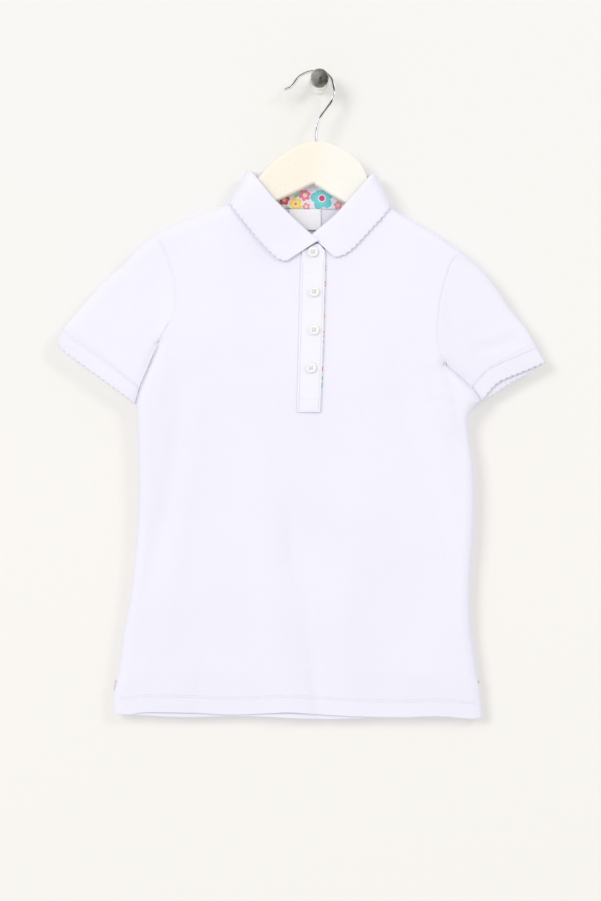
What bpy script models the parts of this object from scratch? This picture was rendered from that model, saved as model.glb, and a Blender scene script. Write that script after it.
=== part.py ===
"""A girl's short-sleeved polo shirt on a broad hanger, hung by its wire hook from a round wall peg.

Frame: the origin is the centre of the peg's back face, which lies against the wall. +Z is up, +X is to
the right of someone who looks at the shirt's front, and +Y goes into the wall. Tables are in millimetres.

The cloth is a set of walls. Front, back and sleeves share one form: a flattened tube whose two layers
stand apart in depth and turn into each other, as a quarter of an ellipse, at the folded lines of its
outline (shoulders, side seams, and the upper and lower folds of the sleeves).
"""

from math import cos, pi, sin, sqrt

import bmesh
import bpy
import numpy as np
from mathutils import Vector

MM = 0.001

# Cloth
PIQUE = 1.2  # wall of the body and sleeves
RIB = 1.5  # wall of the flat-knitted collar and cuffs
STRIP = 1.0  # wall of the narrow woven strips: neck tape, facing, label
SEAM_GAP = 0.3  # space left between two pieces that are sewn together
EDGE_TURN = 12.0  # reach of the rounded turn at a folded line, across the cloth

# Scalloped edges of the collar and the cuffs
SCALLOP_LENGTH = 6.6
SCALLOP_HEIGHT = 1.1
SCALLOP_STEP = 2.2

# Hanger, hook and peg
HOOK_PLANE = -22.0  # depth of the hook's wire, and of the hanger's middle
HANGER_THICKNESS = 10.0
WIRE_RADIUS = 1.8
PEG_LENGTH = 38.0
PEG_NECK_RADIUS = 7.6
PEG_HEAD_RADIUS = 10.2
PEG_HEAD_DEPTH = 8.0
PEG_FLANGE_RADIUS = 11.2
PEG_FLANGE_DEPTH = 4.0

# Depth of the shirt by height: z, middle of the two layers, half of the depth over both
DEPTH = [
    (-100.0, -22.0, 9.4),
    (-200.0, -22.0, 9.4),
    (-260.0, -21.5, 9.8),
    (-330.0, -20.0, 10.6),
    (-420.0, -18.0, 10.2),
    (-540.0, -15.5, 9.4),
    (-640.0, -14.0, 8.8),
    (-692.0, -13.0, 7.8),
]

# Outline of the body, hem to underarm: x, z
LEFT_SIDE = [
    (-220.5, -685.5), (-218.8, -655.0), (-215.8, -627.0), (-211.5, -594.0), (-205.4, -562.0),
    (-200.0, -519.0), (-196.7, -476.0), (-195.7, -432.0), (-196.4, -395.0), (-197.2, -360.0),
    (-197.0, -348.4), (-192.0, -331.0), (-184.9, -313.8), (-179.2, -300.2), (-174.5, -286.0),
]
RIGHT_SIDE = [
    (176.9, -689.5), (173.6, -657.0), (171.8, -648.0), (167.5, -616.0), (164.0, -584.0), (164.0, -540.0),
    (167.0, -497.0), (168.3, -454.0), (167.2, -421.0), (162.9, -392.0), (160.6, -376.0),
    (162.6, -361.0), (166.2, -350.0), (167.0, -341.0), (162.6, -333.0), (152.4, -323.8),
    (144.2, -316.4), (137.0, -308.0),
]
# Front and back hems, left to right: x, z
FRONT_HEM = [
    (-220.5, -685.5), (-206.0, -686.5), (-188.0, -684.0), (-140.0, -684.5), (-96.0, -686.5),
    (-53.0, -685.0), (-31.0, -684.0), (1.0, -686.5), (45.0, -688.5), (87.0, -689.5), (130.0, -688.5),
    (163.0, -691.0), (176.9, -689.5),
]
BACK_HEM = [
    (-220.5, -685.5), (-190.0, -687.5), (-139.0, -689.5), (-96.0, -688.0), (-60.0, -689.0),
    (0.0, -691.5), (40.0, -690.5), (87.0, -689.5), (140.0, -690.0), (176.9, -689.5),
]
# Armhole seams, shoulder point to underarm point: x, z
LEFT_ARMHOLE = [
    (-178.0, -166.0), (-169.7, -181.0), (-163.3, -197.0), (-157.9, -218.6), (-156.4, -243.5),
    (-160.6, -258.0), (-168.6, -270.5), (-174.5, -286.0),
]
RIGHT_ARMHOLE = [
    (155.3, -186.2), (143.5, -197.5), (134.8, -221.8), (129.4, -249.0), (128.3, -276.0),
    (130.5, -292.0), (137.0, -308.0),
]
# Shoulder seams, shoulder point to neck point: x, z
LEFT_SHOULDER = [(-178.0, -166.0), (-147.1, -151.8), (-121.1, -142.4), (-98.0, -134.2), (-82.3, -126.0)]
RIGHT_SHOULDER = [
    (155.3, -186.2), (139.1, -174.8), (125.1, -164.5), (104.6, -154.0), (79.0, -139.5), (64.6, -129.5),
]
# Folded upper and lower lines of the sleeves, armhole to cuff edge: x, z
LEFT_SLEEVE_TOP = [
    (-178.0, -166.0), (-197.8, -182.9), (-212.9, -200.5), (-233.5, -218.0), (-250.7, -238.0),
    (-269.1, -259.6), (-277.7, -270.4), (-283.1, -283.4),
]
LEFT_SLEEVE_UNDER = [
    (-174.5, -286.0), (-181.8, -299.3), (-186.6, -313.2), (-193.2, -330.8), (-198.6, -349.0),
]
RIGHT_SLEEVE_TOP = [
    (155.3, -186.2), (164.0, -194.8), (176.9, -206.5), (193.1, -227.2), (207.2, -248.8),
    (224.5, -270.4), (236.3, -292.0), (243.9, -304.0),
]
RIGHT_SLEEVE_UNDER = [(137.0, -308.0), (153.5, -322.5), (166.0, -333.5), (174.5, -346.0)]
# Cuff edges, upper to lower fold: x, z; the right cuff shows the inside of its back edge
LEFT_CUFF = [(-283.1, -283.4), (-274.5, -293.0), (-258.3, -305.0), (-236.7, -320.5), (-198.6, -349.0)]
RIGHT_CUFF_FRONT = [(243.9, -304.0), (226.6, -311.5), (202.9, -321.0), (189.9, -328.5), (174.5, -346.0)]
RIGHT_CUFF_BACK = [(243.9, -304.0), (227.7, -315.0), (207.2, -326.0), (189.9, -337.5), (174.5, -346.0)]
CUFF_WIDTH = 16.0

# Neckline from the left neck point to the right one, the front in two halves: x, z
FRONT_NECK_LEFT = [
    (-82.3, -126.0), (-72.5, -136.4), (-60.7, -148.8), (-46.6, -162.4), (-30.4, -176.4), (-12.5, -184.5),
]
FRONT_NECK_RIGHT = [
    (-0.5, -185.0), (8.0, -183.4), (17.1, -177.5), (31.1, -165.6), (45.2, -150.5), (56.0, -138.6),
    (64.6, -129.5),
]
BACK_NECK = [
    (-82.3, -126.0), (-61.7, -129.4), (-36.9, -130.4), (-8.8, -130.8), (19.3, -131.2), (44.1, -131.6),
    (64.6, -129.5),
]

# Folds of the front and back: x, z down the fold's middle; width across; depth, forward if over 0
FRONT_FOLDS = [
    dict(path=[(-150, -305), (-152, -370), (-163, -455), (-178, -520), (-193, -572)], width=11, depth=-2.4),
    dict(path=[(-132, -320), (-134, -400), (-146, -480), (-160, -560), (-172, -640)], width=15, depth=1.6),
    dict(path=[(-37, -445), (-30, -508), (-17, -562), (-8, -616), (-1, -690)], width=8, depth=-2.6),
    dict(path=[(-58, -470), (-52, -540), (-40, -620), (-32, -690)], width=16, depth=1.8),
    dict(path=[(22, -520), (30, -600), (38, -690)], width=16, depth=1.6),
    dict(path=[(75, -285), (88, -346), (104, -400), (122, -450), (138, -500), (152, -555)], width=11,
         depth=-2.6),
    dict(path=[(100, -290), (116, -350), (132, -400), (148, -440)], width=12, depth=1.8),
    dict(path=[(70, -200), (98, -250), (128, -300)], width=12, depth=-1.2),
    dict(path=[(136, -350), (146, -385), (160, -420)], width=9, depth=-1.8),
    dict(path=[(88, -560), (104, -600), (118, -640)], width=14, depth=-1.2),
]
BACK_FOLDS = [
    dict(path=[(-120, -300), (-128, -420), (-140, -560), (-150, -690)], width=16, depth=-2.0),
    dict(path=[(-20, -420), (-14, -540), (-8, -690)], width=15, depth=-2.2),
    dict(path=[(95, -310), (108, -430), (118, -560), (122, -690)], width=16, depth=-2.0),
]

# Collar, front left point round the back to the front right point. neck: the seam, fold: the top
# line, edge: the scalloped edge, each x, z. turn: 0 in front, 1 behind, 0.5 on top of the shoulder.
# lift: how far the fold stands forward of its own place, where one collar end laps the other
COLLAR = [
    dict(neck=(-15.0, -183.6), fold=(-3.5, -176.0), edge=(-34.5, -196.0), turn=0, lift=2.6),
    dict(neck=(-30.4, -176.4), fold=(-15.5, -165.6), edge=(-44.5, -192.6), turn=0, lift=1.6),
    dict(neck=(-46.6, -162.4), fold=(-32.4, -149.7), edge=(-60.0, -177.6), turn=0, lift=0.4),
    dict(neck=(-60.7, -148.8), fold=(-50.3, -132.0), edge=(-74.7, -160.2), turn=0, lift=0),
    dict(neck=(-72.5, -136.4), fold=(-64.9, -114.4), edge=(-86.5, -145.6), turn=0, lift=0),
    dict(neck=(-79.5, -129.0), fold=(-72.5, -104.9), edge=(-92.4, -137.6), turn=0, lift=0),
    dict(neck=(-82.3, -126.0), fold=(-76.6, -101.0), edge=(-95.6, -131.4), turn=0.5, lift=0),
    dict(neck=(-77.5, -127.4), fold=(-71.0, -101.4), edge=(-91.0, -137.5), turn=1, lift=0),
    dict(neck=(-61.7, -129.4), fold=(-58.0, -101.6), edge=(-70.0, -143.0), turn=1, lift=0),
    dict(neck=(-36.9, -130.4), fold=(-36.9, -102.2), edge=(-38.0, -145.0), turn=1, lift=0),
    dict(neck=(-8.8, -130.8), fold=(-8.8, -102.6), edge=(-8.8, -145.5), turn=1, lift=0),
    dict(neck=(19.3, -131.2), fold=(19.3, -103.4), edge=(20.3, -146.0), turn=1, lift=0),
    dict(neck=(44.1, -131.6), fold=(42.0, -104.2), edge=(53.0, -145.5), turn=1, lift=0),
    dict(neck=(60.0, -130.6), fold=(54.0, -104.4), edge=(71.5, -140.5), turn=1, lift=0),
    dict(neck=(64.6, -129.5), fold=(59.4, -104.4), edge=(76.4, -134.4), turn=0.5, lift=0),
    dict(neck=(61.8, -132.2), fold=(55.6, -107.5), edge=(73.6, -140.5), turn=0, lift=0),
    dict(neck=(56.0, -138.6), fold=(47.0, -118.0), edge=(67.0, -148.6), turn=0, lift=0),
    dict(neck=(45.2, -150.5), fold=(32.6, -134.0), edge=(54.5, -162.0), turn=0, lift=0),
    dict(neck=(31.1, -165.6), fold=(17.5, -150.6), edge=(41.0, -176.8), turn=0, lift=-0.4),
    dict(neck=(17.1, -177.5), fold=(4.0, -161.6), edge=(28.5, -187.6), turn=0, lift=-1.6),
    dict(neck=(9.0, -182.8), fold=(-7.0, -170.8), edge=(16.5, -192.0), turn=0, lift=-2.6),
]

# ---- curves and fields ----


def at_rows(table, places):
    """Rows read from a smooth curve through the table's rows, at places between them such as 2.5."""
    ends = np.vstack([2 * table[0] - table[1], table, 2 * table[-1] - table[-2]])
    rows = []
    for place in places:
        first = min(int(place), len(table) - 2)
        t = place - first
        a, b, c, d = ends[first:first + 4]
        rows.append(0.5 * (2 * b + (c - a) * t + (2 * a - 5 * b + 4 * c - d) * t**2
                           + (3 * b - a - 3 * c + d) * t**3))
    return np.array(rows)


def spline(points, fractions):
    """Points at the given fractions of a smooth curve's length through the table's points."""
    table = np.array(points, float)
    dense = at_rows(table, np.linspace(0, len(table) - 1, 12 * (len(table) - 1) + 1))
    lengths = np.concatenate([[0], np.cumsum(np.linalg.norm(np.diff(dense, axis=0), axis=1))])
    wanted = np.asarray(fractions, float) * lengths[-1]
    return np.stack([np.interp(wanted, lengths, dense[:, i]) for i in range(table.shape[1])], axis=1)


def to_polyline(point, line):
    """Distance in the xz plane from a point to a polyline, and how far along it the nearest place is."""
    starts, steps = line[:-1], np.diff(line, axis=0)
    along = np.clip(((point - starts) * steps).sum(axis=1) / (steps**2).sum(axis=1), 0, 1)
    away = np.linalg.norm(starts + along[:, None] * steps - point, axis=1)
    nearest = int(away.argmin())
    return away[nearest], (nearest + along[nearest]) / len(steps)


EVENLY = np.linspace(0, 1, 37)
FOLDED_LINES = {
    "left": [spline(line, EVENLY)
             for line in (LEFT_SHOULDER, LEFT_SIDE, LEFT_SLEEVE_TOP, LEFT_SLEEVE_UNDER)],
    "right": [spline(line, EVENLY)
              for line in (RIGHT_SHOULDER, RIGHT_SIDE, RIGHT_SLEEVE_TOP, RIGHT_SLEEVE_UNDER)],
}


def from_folded_line(x, z):
    point = np.array((x, z))
    return min(to_polyline(point, line)[0] for side in FOLDED_LINES.values() for line in side)


def middle(z):
    return np.interp(-z, [-row[0] for row in DEPTH], [row[1] for row in DEPTH])


def half_depth(z):
    return np.interp(-z, [-row[0] for row in DEPTH], [row[2] for row in DEPTH])


def turned(distance):
    """0 on a folded line, rising round a quarter of an ellipse to 1 where the layer lies flat."""
    t = min(distance / EDGE_TURN, 1)
    return sqrt(max(0, 1 - (1 - t) ** 2))


def relief(x, z, folds):
    """How far the folds push a layer out at a place."""
    total = 0
    for fold in folds:
        away, along = to_polyline(np.array((x, z)), np.array(fold["path"], float))
        to_hem = fold["path"][-1][1] < -680
        fade = min(1, 4 * along + 0.05) if to_hem else sin(pi * np.clip(along, 0, 1)) ** 0.7
        total += fold["depth"] * np.exp(-(away / fold["width"]) ** 2) * fade
    return total


def layer(x, z, facing, slack=1.0):
    """Depth of a layer's outer side: facing is -1 on the front and 1 on the back."""
    rise = turned(from_folded_line(x, z))
    folds = FRONT_FOLDS if facing < 0 else BACK_FOLDS
    out = SEAM_GAP / 2 + (half_depth(z) * slack + relief(x, z, folds)) * rise
    return middle(z) + facing * out


def front(x, z):
    return layer(x, z, -1)


def back(x, z):
    return layer(x, z, 1)


def layer_normal(x, z, facing):
    """Outward direction of a layer, by small steps in x and z."""
    step = 0.4
    slope_x = (layer(x + step, z, facing) - layer(x - step, z, facing)) / (2 * step)
    slope_z = (layer(x, z + step, facing) - layer(x, z - step, facing)) / (2 * step)
    normal = np.array((-slope_x, 1.0, -slope_z)) * facing
    return normal / np.linalg.norm(normal)


# ---- mesh building ----


def material(name, colour, roughness, metallic=0.0):
    made = bpy.data.materials.new(name)
    made.use_nodes = True
    shader = made.node_tree.nodes["Principled BSDF"]
    shader.inputs["Base Color"].default_value = (*colour, 1)
    shader.inputs["Roughness"].default_value = roughness
    shader.inputs["Metallic"].default_value = metallic
    return made


def add_object(name, vertices, faces, colour, roughness, metallic=0.0):
    mesh = bpy.data.meshes.new(name)
    mesh.from_pydata([Vector(v) * MM for v in vertices], [], faces)
    mesh.materials.append(material(name, colour, roughness, metallic))
    form = bmesh.new()
    form.from_mesh(mesh)
    bmesh.ops.recalc_face_normals(form, faces=form.faces)
    bmesh.ops.triangulate(form, faces=form.faces)
    form.to_mesh(mesh)
    form.free()
    mesh.shade_smooth()
    mesh.set_sharp_from_angle(angle=0.7)
    made = bpy.data.objects.new(name, mesh)
    bpy.context.scene.collection.objects.link(made)
    return made


def grid_normals(grid, wraps):
    """Unit normals of a grid of points by central differences; wraps says that its columns close."""
    down = np.gradient(grid, axis=0)
    if wraps:
        across = np.roll(grid, -1, axis=1) - np.roll(grid, 1, axis=1)
    else:
        across = np.gradient(grid, axis=1)
    normal = np.cross(across, down)
    return normal / np.maximum(np.linalg.norm(normal, axis=2, keepdims=True), 1e-9)


def scallops(start, end, travelled):
    """How many points the scalloped edge gets between two columns, and the edge length done by then."""
    width = np.linalg.norm(end - start)
    return max(1, round(width / SCALLOP_STEP)), travelled + width


def wall(name, grid, normals, thickness, wraps=False, scalloped=False, slit=None, **look):
    """A closed cloth wall: the grid is its outer side, and it is thickness deep against the normals.

    scalloped gives the last row a picot edge. slit=(rows, column) leaves out the cells of that column
    in the last rows, as the placket's cut.
    """
    rows, columns = grid.shape[:2]
    cells = columns if wraps else columns - 1
    vertices = []
    sides = []
    for side in (0, 1):
        points = grid - normals * thickness * side
        ids = {}
        for i in range(rows):
            for j in range(columns):
                ids[i, j] = len(vertices)
                vertices.append(points[i, j])
        edges = {}
        travelled = 0.0
        for j in range(cells):
            k = (j + 1) % columns
            extra = []
            if scalloped:
                count, reached = scallops(grid[-1, j], grid[-1, k], travelled)
                for step in range(1, count):
                    t = step / count
                    outward = (grid[-1, j] - grid[-2, j]) * (1 - t) + (grid[-1, k] - grid[-2, k]) * t
                    outward /= np.linalg.norm(outward)
                    place = travelled + (reached - travelled) * t
                    bulge = SCALLOP_HEIGHT * abs(sin(pi * place / SCALLOP_LENGTH))
                    extra.append(len(vertices))
                    vertices.append(points[-1, j] * (1 - t) + points[-1, k] * t + outward * bulge)
                travelled = reached
            edges[j] = extra
        sides.append((ids, edges))

    def kept(i, j):
        return 0 <= i < rows - 1 and (wraps or 0 <= j < cells) and not (
            slit and j % columns == slit[1] and i >= rows - 1 - slit[0])

    faces = []
    for i in range(rows - 1):
        for j in range(cells):
            if not kept(i, j):
                continue
            k = (j + 1) % columns
            for side, (ids, edges) in enumerate(sides):
                extra = edges[j] if i == rows - 2 else []
                ring = [ids[i, j], ids[i, k], ids[i + 1, k], *reversed(extra), ids[i + 1, j]]
                faces.append(ring if side == 0 else ring[::-1])
            outer, inner = sides
            if not kept(i - 1, j):
                faces.append([outer[0][i, k], outer[0][i, j], inner[0][i, j], inner[0][i, k]])
            if not kept(i + 1, j):
                top = [outer[0][i + 1, j], *(outer[1][j] if i == rows - 2 else []), outer[0][i + 1, k]]
                bottom = [inner[0][i + 1, j], *(inner[1][j] if i == rows - 2 else []), inner[0][i + 1, k]]
                for a, b, c, d in zip(top, top[1:], bottom[1:], bottom):
                    faces.append([a, b, c, d])
            if not kept(i, j - 1):
                faces.append([outer[0][i, j], outer[0][i + 1, j], inner[0][i + 1, j], inner[0][i, j]])
            if not kept(i, j + 1):
                faces.append([outer[0][i + 1, k], outer[0][i, k], inner[0][i, k], inner[0][i + 1, k]])
    used = sorted({v for face in faces for v in face})
    renumber = {old: new for new, old in enumerate(used)}
    return add_object(name, [vertices[v] for v in used], [[renumber[v] for v in f] for f in faces], **look)


def patch(bottom, top, left, right, across, up):
    """Points filled in between four edge curves (x, z); across and up are the blending fractions."""
    u = np.asarray(across)[None, :, None]
    v = np.asarray(up)[:, None, None]
    ruled = (1 - v) * bottom[None] + v * top[None] + (1 - u) * left[:, None] + u * right[:, None]
    below = (1 - u) * bottom[0] + u * bottom[-1]
    corners = (1 - v) * below + (1 - u) * v * top[0] + u * v * top[-1]
    return ruled - corners


# ---- the cloth pieces ----

WHITE = (0.86, 0.85, 0.93)
# Fractions of the armhole seam, shoulder to underarm, closer where the cloth turns
ARMHOLE_STEPS = [0, 0.008, 0.03, 0.07, 0.13, 0.22, 0.34, 0.48, 0.62, 0.75, 0.86, 0.94, 0.985, 1]
# Fractions of the side seam, hem to underarm
SIDE_STEPS = [
    0, 0.07, 0.095, 0.16, 0.24, 0.33, 0.42, 0.51, 0.6, 0.68, 0.75, 0.8, 0.835, 0.86, 0.885, 0.91, 0.94,
    0.97, 1,
]
# Columns of a panel's left half: distance in along the hem, and fractions of the shoulder seam above
HALF_FRONT = dict(hem=[0, 0.8, 3.2, 7.5, 14, 24, 38, 56, 80, 104, 128, 150, 166, 180, 193],
                  shoulder=[0, 0.05, 0.11, 0.18, 0.29, 0.46, 0.66, 0.85, 1])
HALF_BACK = dict(hem=[0, 0.8, 3.2, 7.5, 14, 28, 50, 80, 112, 144, 174, 200],
                 shoulder=[0, 0.06, 0.15, 0.32, 0.58, 0.83, 1])
# Fractions of the neckline, closer where the cloth turns towards the shoulder
NECK_LEFT_STEPS = [0, 0.05, 0.15, 0.35, 0.6, 0.82, 1]
NECK_RIGHT_STEPS = [0, 0.12, 0.3, 0.55, 0.85, 0.95, 1]
BACK_NECK_STEPS = [0, 0.03, 0.09, 0.19, 0.34, 0.5, 0.66, 0.81, 0.91, 0.97, 1]
SLIT_END = -350.0


def unit(vector):
    return vector / np.linalg.norm(vector)


def side_rows(side, armhole, hem_end):
    """One edge of a panel, hem to shoulder point: the side seam, moved out to the hem's end, and armhole."""
    rows = spline([hem_end, *side[1:]], SIDE_STEPS)
    return np.vstack([rows, spline(armhole, ARMHOLE_STEPS)[-2::-1]])


def panel_grid(hem, half, left_neck, right_neck, middle_column):
    """A panel's points in the xz plane, from the hem up to the shoulders and the neckline."""
    left = side_rows(LEFT_SIDE, LEFT_ARMHOLE, hem[0])
    right = side_rows(RIGHT_SIDE, RIGHT_ARMHOLE, hem[-1])
    steps = np.array(half["hem"]) / (hem[-1][0] - hem[0][0])
    across = np.concatenate([steps, 1 - (steps[-2::-1] if middle_column else steps[::-1])])
    shoulder = half["shoulder"]
    top = np.vstack([
        spline(LEFT_SHOULDER, shoulder), left_neck[1:], right_neck[:-1],
        spline(RIGHT_SHOULDER, shoulder)[::-1],
    ])
    heights = (left[:, 1] + right[:, 1]) / 2
    up = (heights - heights[0]) / (heights[-1] - heights[0])
    return patch(spline(hem, across), top, left, right, across, up)


def panel_in_depth(flat, facing, shoulder_columns):
    """The panel's outer side and normals. On its folded lines it meets the other layer edge to edge."""
    rows, columns = flat.shape[:2]
    grid, normals = np.zeros((rows, columns, 3)), np.zeros((rows, columns, 3))
    for i in range(rows):
        for j in range(columns):
            x, z = flat[i, j]
            on_side = j in (0, columns - 1) and i < len(SIDE_STEPS)
            on_shoulder = i == rows - 1 and (j < shoulder_columns or j >= columns - shoulder_columns)
            if on_side or on_shoulder:
                inner = flat[i - 1 if on_shoulder else i, 1 if j == 0 else min(j, columns - 2)]
                away = unit(flat[i, j] - inner)
                grid[i, j] = x, middle(z) + facing * SEAM_GAP / 2, z
                normals[i, j] = away[0], 0, away[1]
            else:
                grid[i, j] = x, layer(x, z, facing), z
                normals[i, j] = layer_normal(x, z, facing)
    return grid, normals


def make_front():
    flat = panel_grid(FRONT_HEM, HALF_FRONT, spline(FRONT_NECK_LEFT, NECK_LEFT_STEPS),
                      spline(FRONT_NECK_RIGHT, NECK_RIGHT_STEPS), False)
    grid, normals = panel_in_depth(flat, -1, len(HALF_FRONT["shoulder"]))
    slit_column = len(HALF_FRONT["hem"]) - 1
    slit_rows = int((flat[:-1, slit_column, 1] > SLIT_END).sum())
    wall("front", grid, normals, PIQUE, slit=(slit_rows, slit_column), colour=WHITE, roughness=0.9)


def make_back():
    neck = spline(BACK_NECK, BACK_NECK_STEPS)
    count = len(BACK_NECK_STEPS) // 2 + 1
    flat = panel_grid(BACK_HEM, HALF_BACK, neck[:count], neck[count:], True)
    grid, normals = panel_in_depth(flat, 1, len(HALF_BACK["shoulder"]))
    wall("back", grid, normals, PIQUE, colour=WHITE, roughness=0.9)


SLEEVE_STEPS = [0, 0.07, 0.2, 0.38, 0.58, 0.79, 1]
CUFF_STEPS = [0, 0.5, 1]
CUFF_SLACK = 0.8  # the sleeve's depth at the cuff, as a part of the body's


def fold_to_cuff(line):
    """A folded line of the sleeve down to the cuff seam, and the direction back up from its end."""
    whole = spline(line, EVENLY)
    length = np.linalg.norm(np.diff(whole, axis=0), axis=1).sum()
    back_up = unit(whole[-4] - whole[-1])
    rows = spline(line, np.array(SLEEVE_STEPS) * (1 - CUFF_WIDTH / length))
    rows[-1] = whole[-1] + back_up * CUFF_WIDTH
    return rows, back_up


def ring_in_depth(front_xz, back_xz, slacks):
    """Closes a front and a back patch (rows, across from the upper fold to the lower) into rings."""
    rows, across = front_xz.shape[:2]
    grid = np.zeros((rows, 2 * across - 2, 3))
    for i in range(rows):
        for j in range(across):
            x, z = front_xz[i, j]
            folded = j in (0, across - 1)
            grid[i, j] = x, middle(z) if folded else layer(x, z, -1, slacks[i]), z
        for j in range(1, across - 1):
            x, z = back_xz[i, j]
            grid[i, 2 * across - 2 - j] = x, layer(x, z, 1, slacks[i]), z
    normals = grid_normals(grid, True)
    outward = np.sign((normals[:, 1:across - 1, 1]).sum())
    return grid, normals * -outward


def make_sleeve(side, armhole, top_line, under_line, cuff_front, cuff_back):
    steps = ARMHOLE_STEPS
    seam = spline(armhole, steps)
    tangent = np.gradient(seam, axis=0)
    outward = np.stack([-tangent[:, 1], tangent[:, 0]], axis=1)
    outward *= np.sign((outward * (top_line[-1] - seam)).sum())
    root = seam + SEAM_GAP * outward / np.linalg.norm(outward, axis=1, keepdims=True)
    top, top_up = fold_to_cuff(top_line)
    under, under_up = fold_to_cuff(under_line)
    top[0], under[0] = root[0], root[-1]
    share = np.array(steps)[:, None]
    upward = top_up * (1 - share) + under_up * share
    slacks = 1 - (1 - CUFF_SLACK) * np.array(SLEEVE_STEPS)
    layers, cuffs = [], []
    for edge_line in (cuff_front, cuff_back):
        edge = spline(edge_line, steps)
        cuff_seam = spline(cuff_front, steps) + upward * CUFF_WIDTH
        layers.append(patch(root, cuff_seam, top, under, steps, SLEEVE_STEPS))
        start = cuff_seam - upward * (SEAM_GAP + 0.2)
        cuffs.append(np.stack([start * (1 - t) + edge * t for t in CUFF_STEPS]))
    grid, normals = ring_in_depth(*layers, slacks)
    across = len(steps)
    for j in range(1, across - 1):
        x, z = seam[j]
        for facing, column in ((-1, j), (1, 2 * across - 2 - j)):
            grid[0, column, 1] = layer(x, z, facing)
            normals[0, column] = layer_normal(x, z, facing)
    wall(f"sleeve_{side}", grid, normals, PIQUE, wraps=True, colour=WHITE, roughness=0.9)
    cuff_grid, cuff_normals = ring_in_depth(*cuffs, [CUFF_SLACK] * len(CUFF_STEPS))
    wall(f"cuff_{side}", cuff_grid, cuff_normals, RIB, wraps=True, scalloped=True, colour=WHITE,
         roughness=0.85)


FOLD_RADIUS = 2.2  # of the collar's turn, at its outer side
SHOULDER_STATIONS = (4, 5, 6, 7, 11, 12, 13, 14)  # where the collar turns most, and gets more columns
TURN_ANGLES = [-pi / 6, pi / 6]
LEAF_STEPS = [0.22, 0.42, 0.58, 0.72, 0.86, 1]
LEAF_CLEARANCE = 0.5
STAND_GAP = 0.9  # from the neckline up to the stand's lower edge


def on_shirt(x, z, turn, out):
    """A point out mm in front of the front, behind the back, or at mid depth on top of the shoulder."""
    if turn == 0:
        return np.array((x, front(x, z) - out, z))
    if turn == 1:
        return np.array((x, back(x, z) + out, z))
    return np.array((x, middle(z), z))


def collar_section(before, here, after):
    """The collar's visible side at one place: up the stand, over the fold and down the fall."""
    def fold_point(row):
        point = on_shirt(*row["neck"], row["turn"], 0.85)
        return np.array((row["fold"][0], point[1] - row["lift"], row["fold"][1]))
    seam = on_shirt(*here["neck"], here["turn"], 0)
    fold = fold_point(here)
    edge = on_shirt(*here["edge"], here["turn"], RIB + LEAF_CLEARANCE)
    down = unit((seam + edge) / 2 - fold)
    outward = unit(np.cross(fold_point(after) - fold_point(before), down))
    foot = seam + unit(fold - seam) * STAND_GAP - outward * (RIB - SEAM_GAP / 2)
    stand_top = fold - outward * FOLD_RADIUS
    leaf_top = fold + outward * FOLD_RADIUS
    rows = [foot, (foot + stand_top) / 2, stand_top]
    rows += [fold + (outward * sin(angle) - down * cos(angle)) * FOLD_RADIUS for angle in TURN_ANGLES]
    rows.append(leaf_top)
    for step in LEAF_STEPS:
        rows.append(leaf_top * (1 - step) + edge * step)
    return rows


def off_the_shirt(point, gap):
    """The point, moved out where it is less than gap off the shirt or the turn of its shoulder."""
    x, y, z = point
    here = np.array((x, z))
    line = min((side[0] for side in FOLDED_LINES.values()), key=lambda row: to_polyline(here, row)[0])
    away, along = to_polyline(here, line)
    upward = here - at_rows(line, [along * (len(line) - 1)])[0]
    above = upward[1] > 0
    reach = EDGE_TURN + away if above else EDGE_TURN - away
    depth, half = y - middle(z), half_depth(z)
    if reach <= 0:
        clear = min(y, front(x, z) - gap) if depth < 0 else max(y, back(x, z) + gap)
        return np.array((x, clear, z))
    size = np.hypot(reach, depth)
    grow = max(1, (size / np.hypot(reach / EDGE_TURN, depth / half) + gap) / size)
    x, z = here + upward / max(away, 1e-6) * (1 if above else -1) * reach * (grow - 1)
    return np.array((x, y + depth * (grow - 1), z))


def make_collar():
    sections = []
    for k, here in enumerate(COLLAR):
        before, after = COLLAR[max(k - 1, 0)], COLLAR[min(k + 1, len(COLLAR) - 1)]
        sections.append(np.concatenate(collar_section(before, here, after)))
    places = []
    for k in range(len(COLLAR) - 1):
        places += list(np.linspace(k, k + 1, 3 if k in SHOULDER_STATIONS else 2, endpoint=False))
    places.append(len(COLLAR) - 1)
    columns = at_rows(np.array(sections), places)
    grid = columns.reshape(len(places), -1, 3).transpose(1, 0, 2)
    for i in range(2 - len(LEAF_STEPS), 0):
        for j in range(len(places)):
            grid[i, j] = off_the_shirt(grid[i, j], RIB + LEAF_CLEARANCE + 0.5)
    normals = grid_normals(grid, False)
    normals *= np.sign(normals[-1, len(places) // 2, 1])
    wall("collar", grid, normals, RIB, scalloped=True, colour=WHITE, roughness=0.85)


# Placket band: height, left edge, right edge; and its top edge, which tucks under the collar: x, z
PLACKET = [(-359.0, -23.9, 0.9), (-281.0, -21.8, 4.1), (-238.0, -20.7, 5.2), (-200.0, -19.7, 6.2)]
PLACKET_TOP = [(-18.5, -184.8), (-12.5, -183.2), (-6.5, -179.6), (-0.5, -178.8), (6.0, -186.0)]
PLACKET_OUT = [1.55, 1.9, 2.4, 2.95, 2.95]  # how far each column's outer side stands off the front
PLACKET_ROWS = 11


def placket_edges(z):
    heights, lefts, rights = zip(*PLACKET)
    return np.interp(z, heights, lefts), np.interp(z, heights, rights)


def strip_on_front(name, columns, rows, out, thickness, **look):
    """A strip along the placket. columns: x for a height; out: how far its outer side is off the front."""
    grid = np.array([[(x, front(x, z) - o, z) for x, o in zip(columns(z), out)] for z in rows])
    normals = np.zeros_like(grid)
    normals[..., 1] = -1
    wall(name, grid, normals, thickness, **look)


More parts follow.
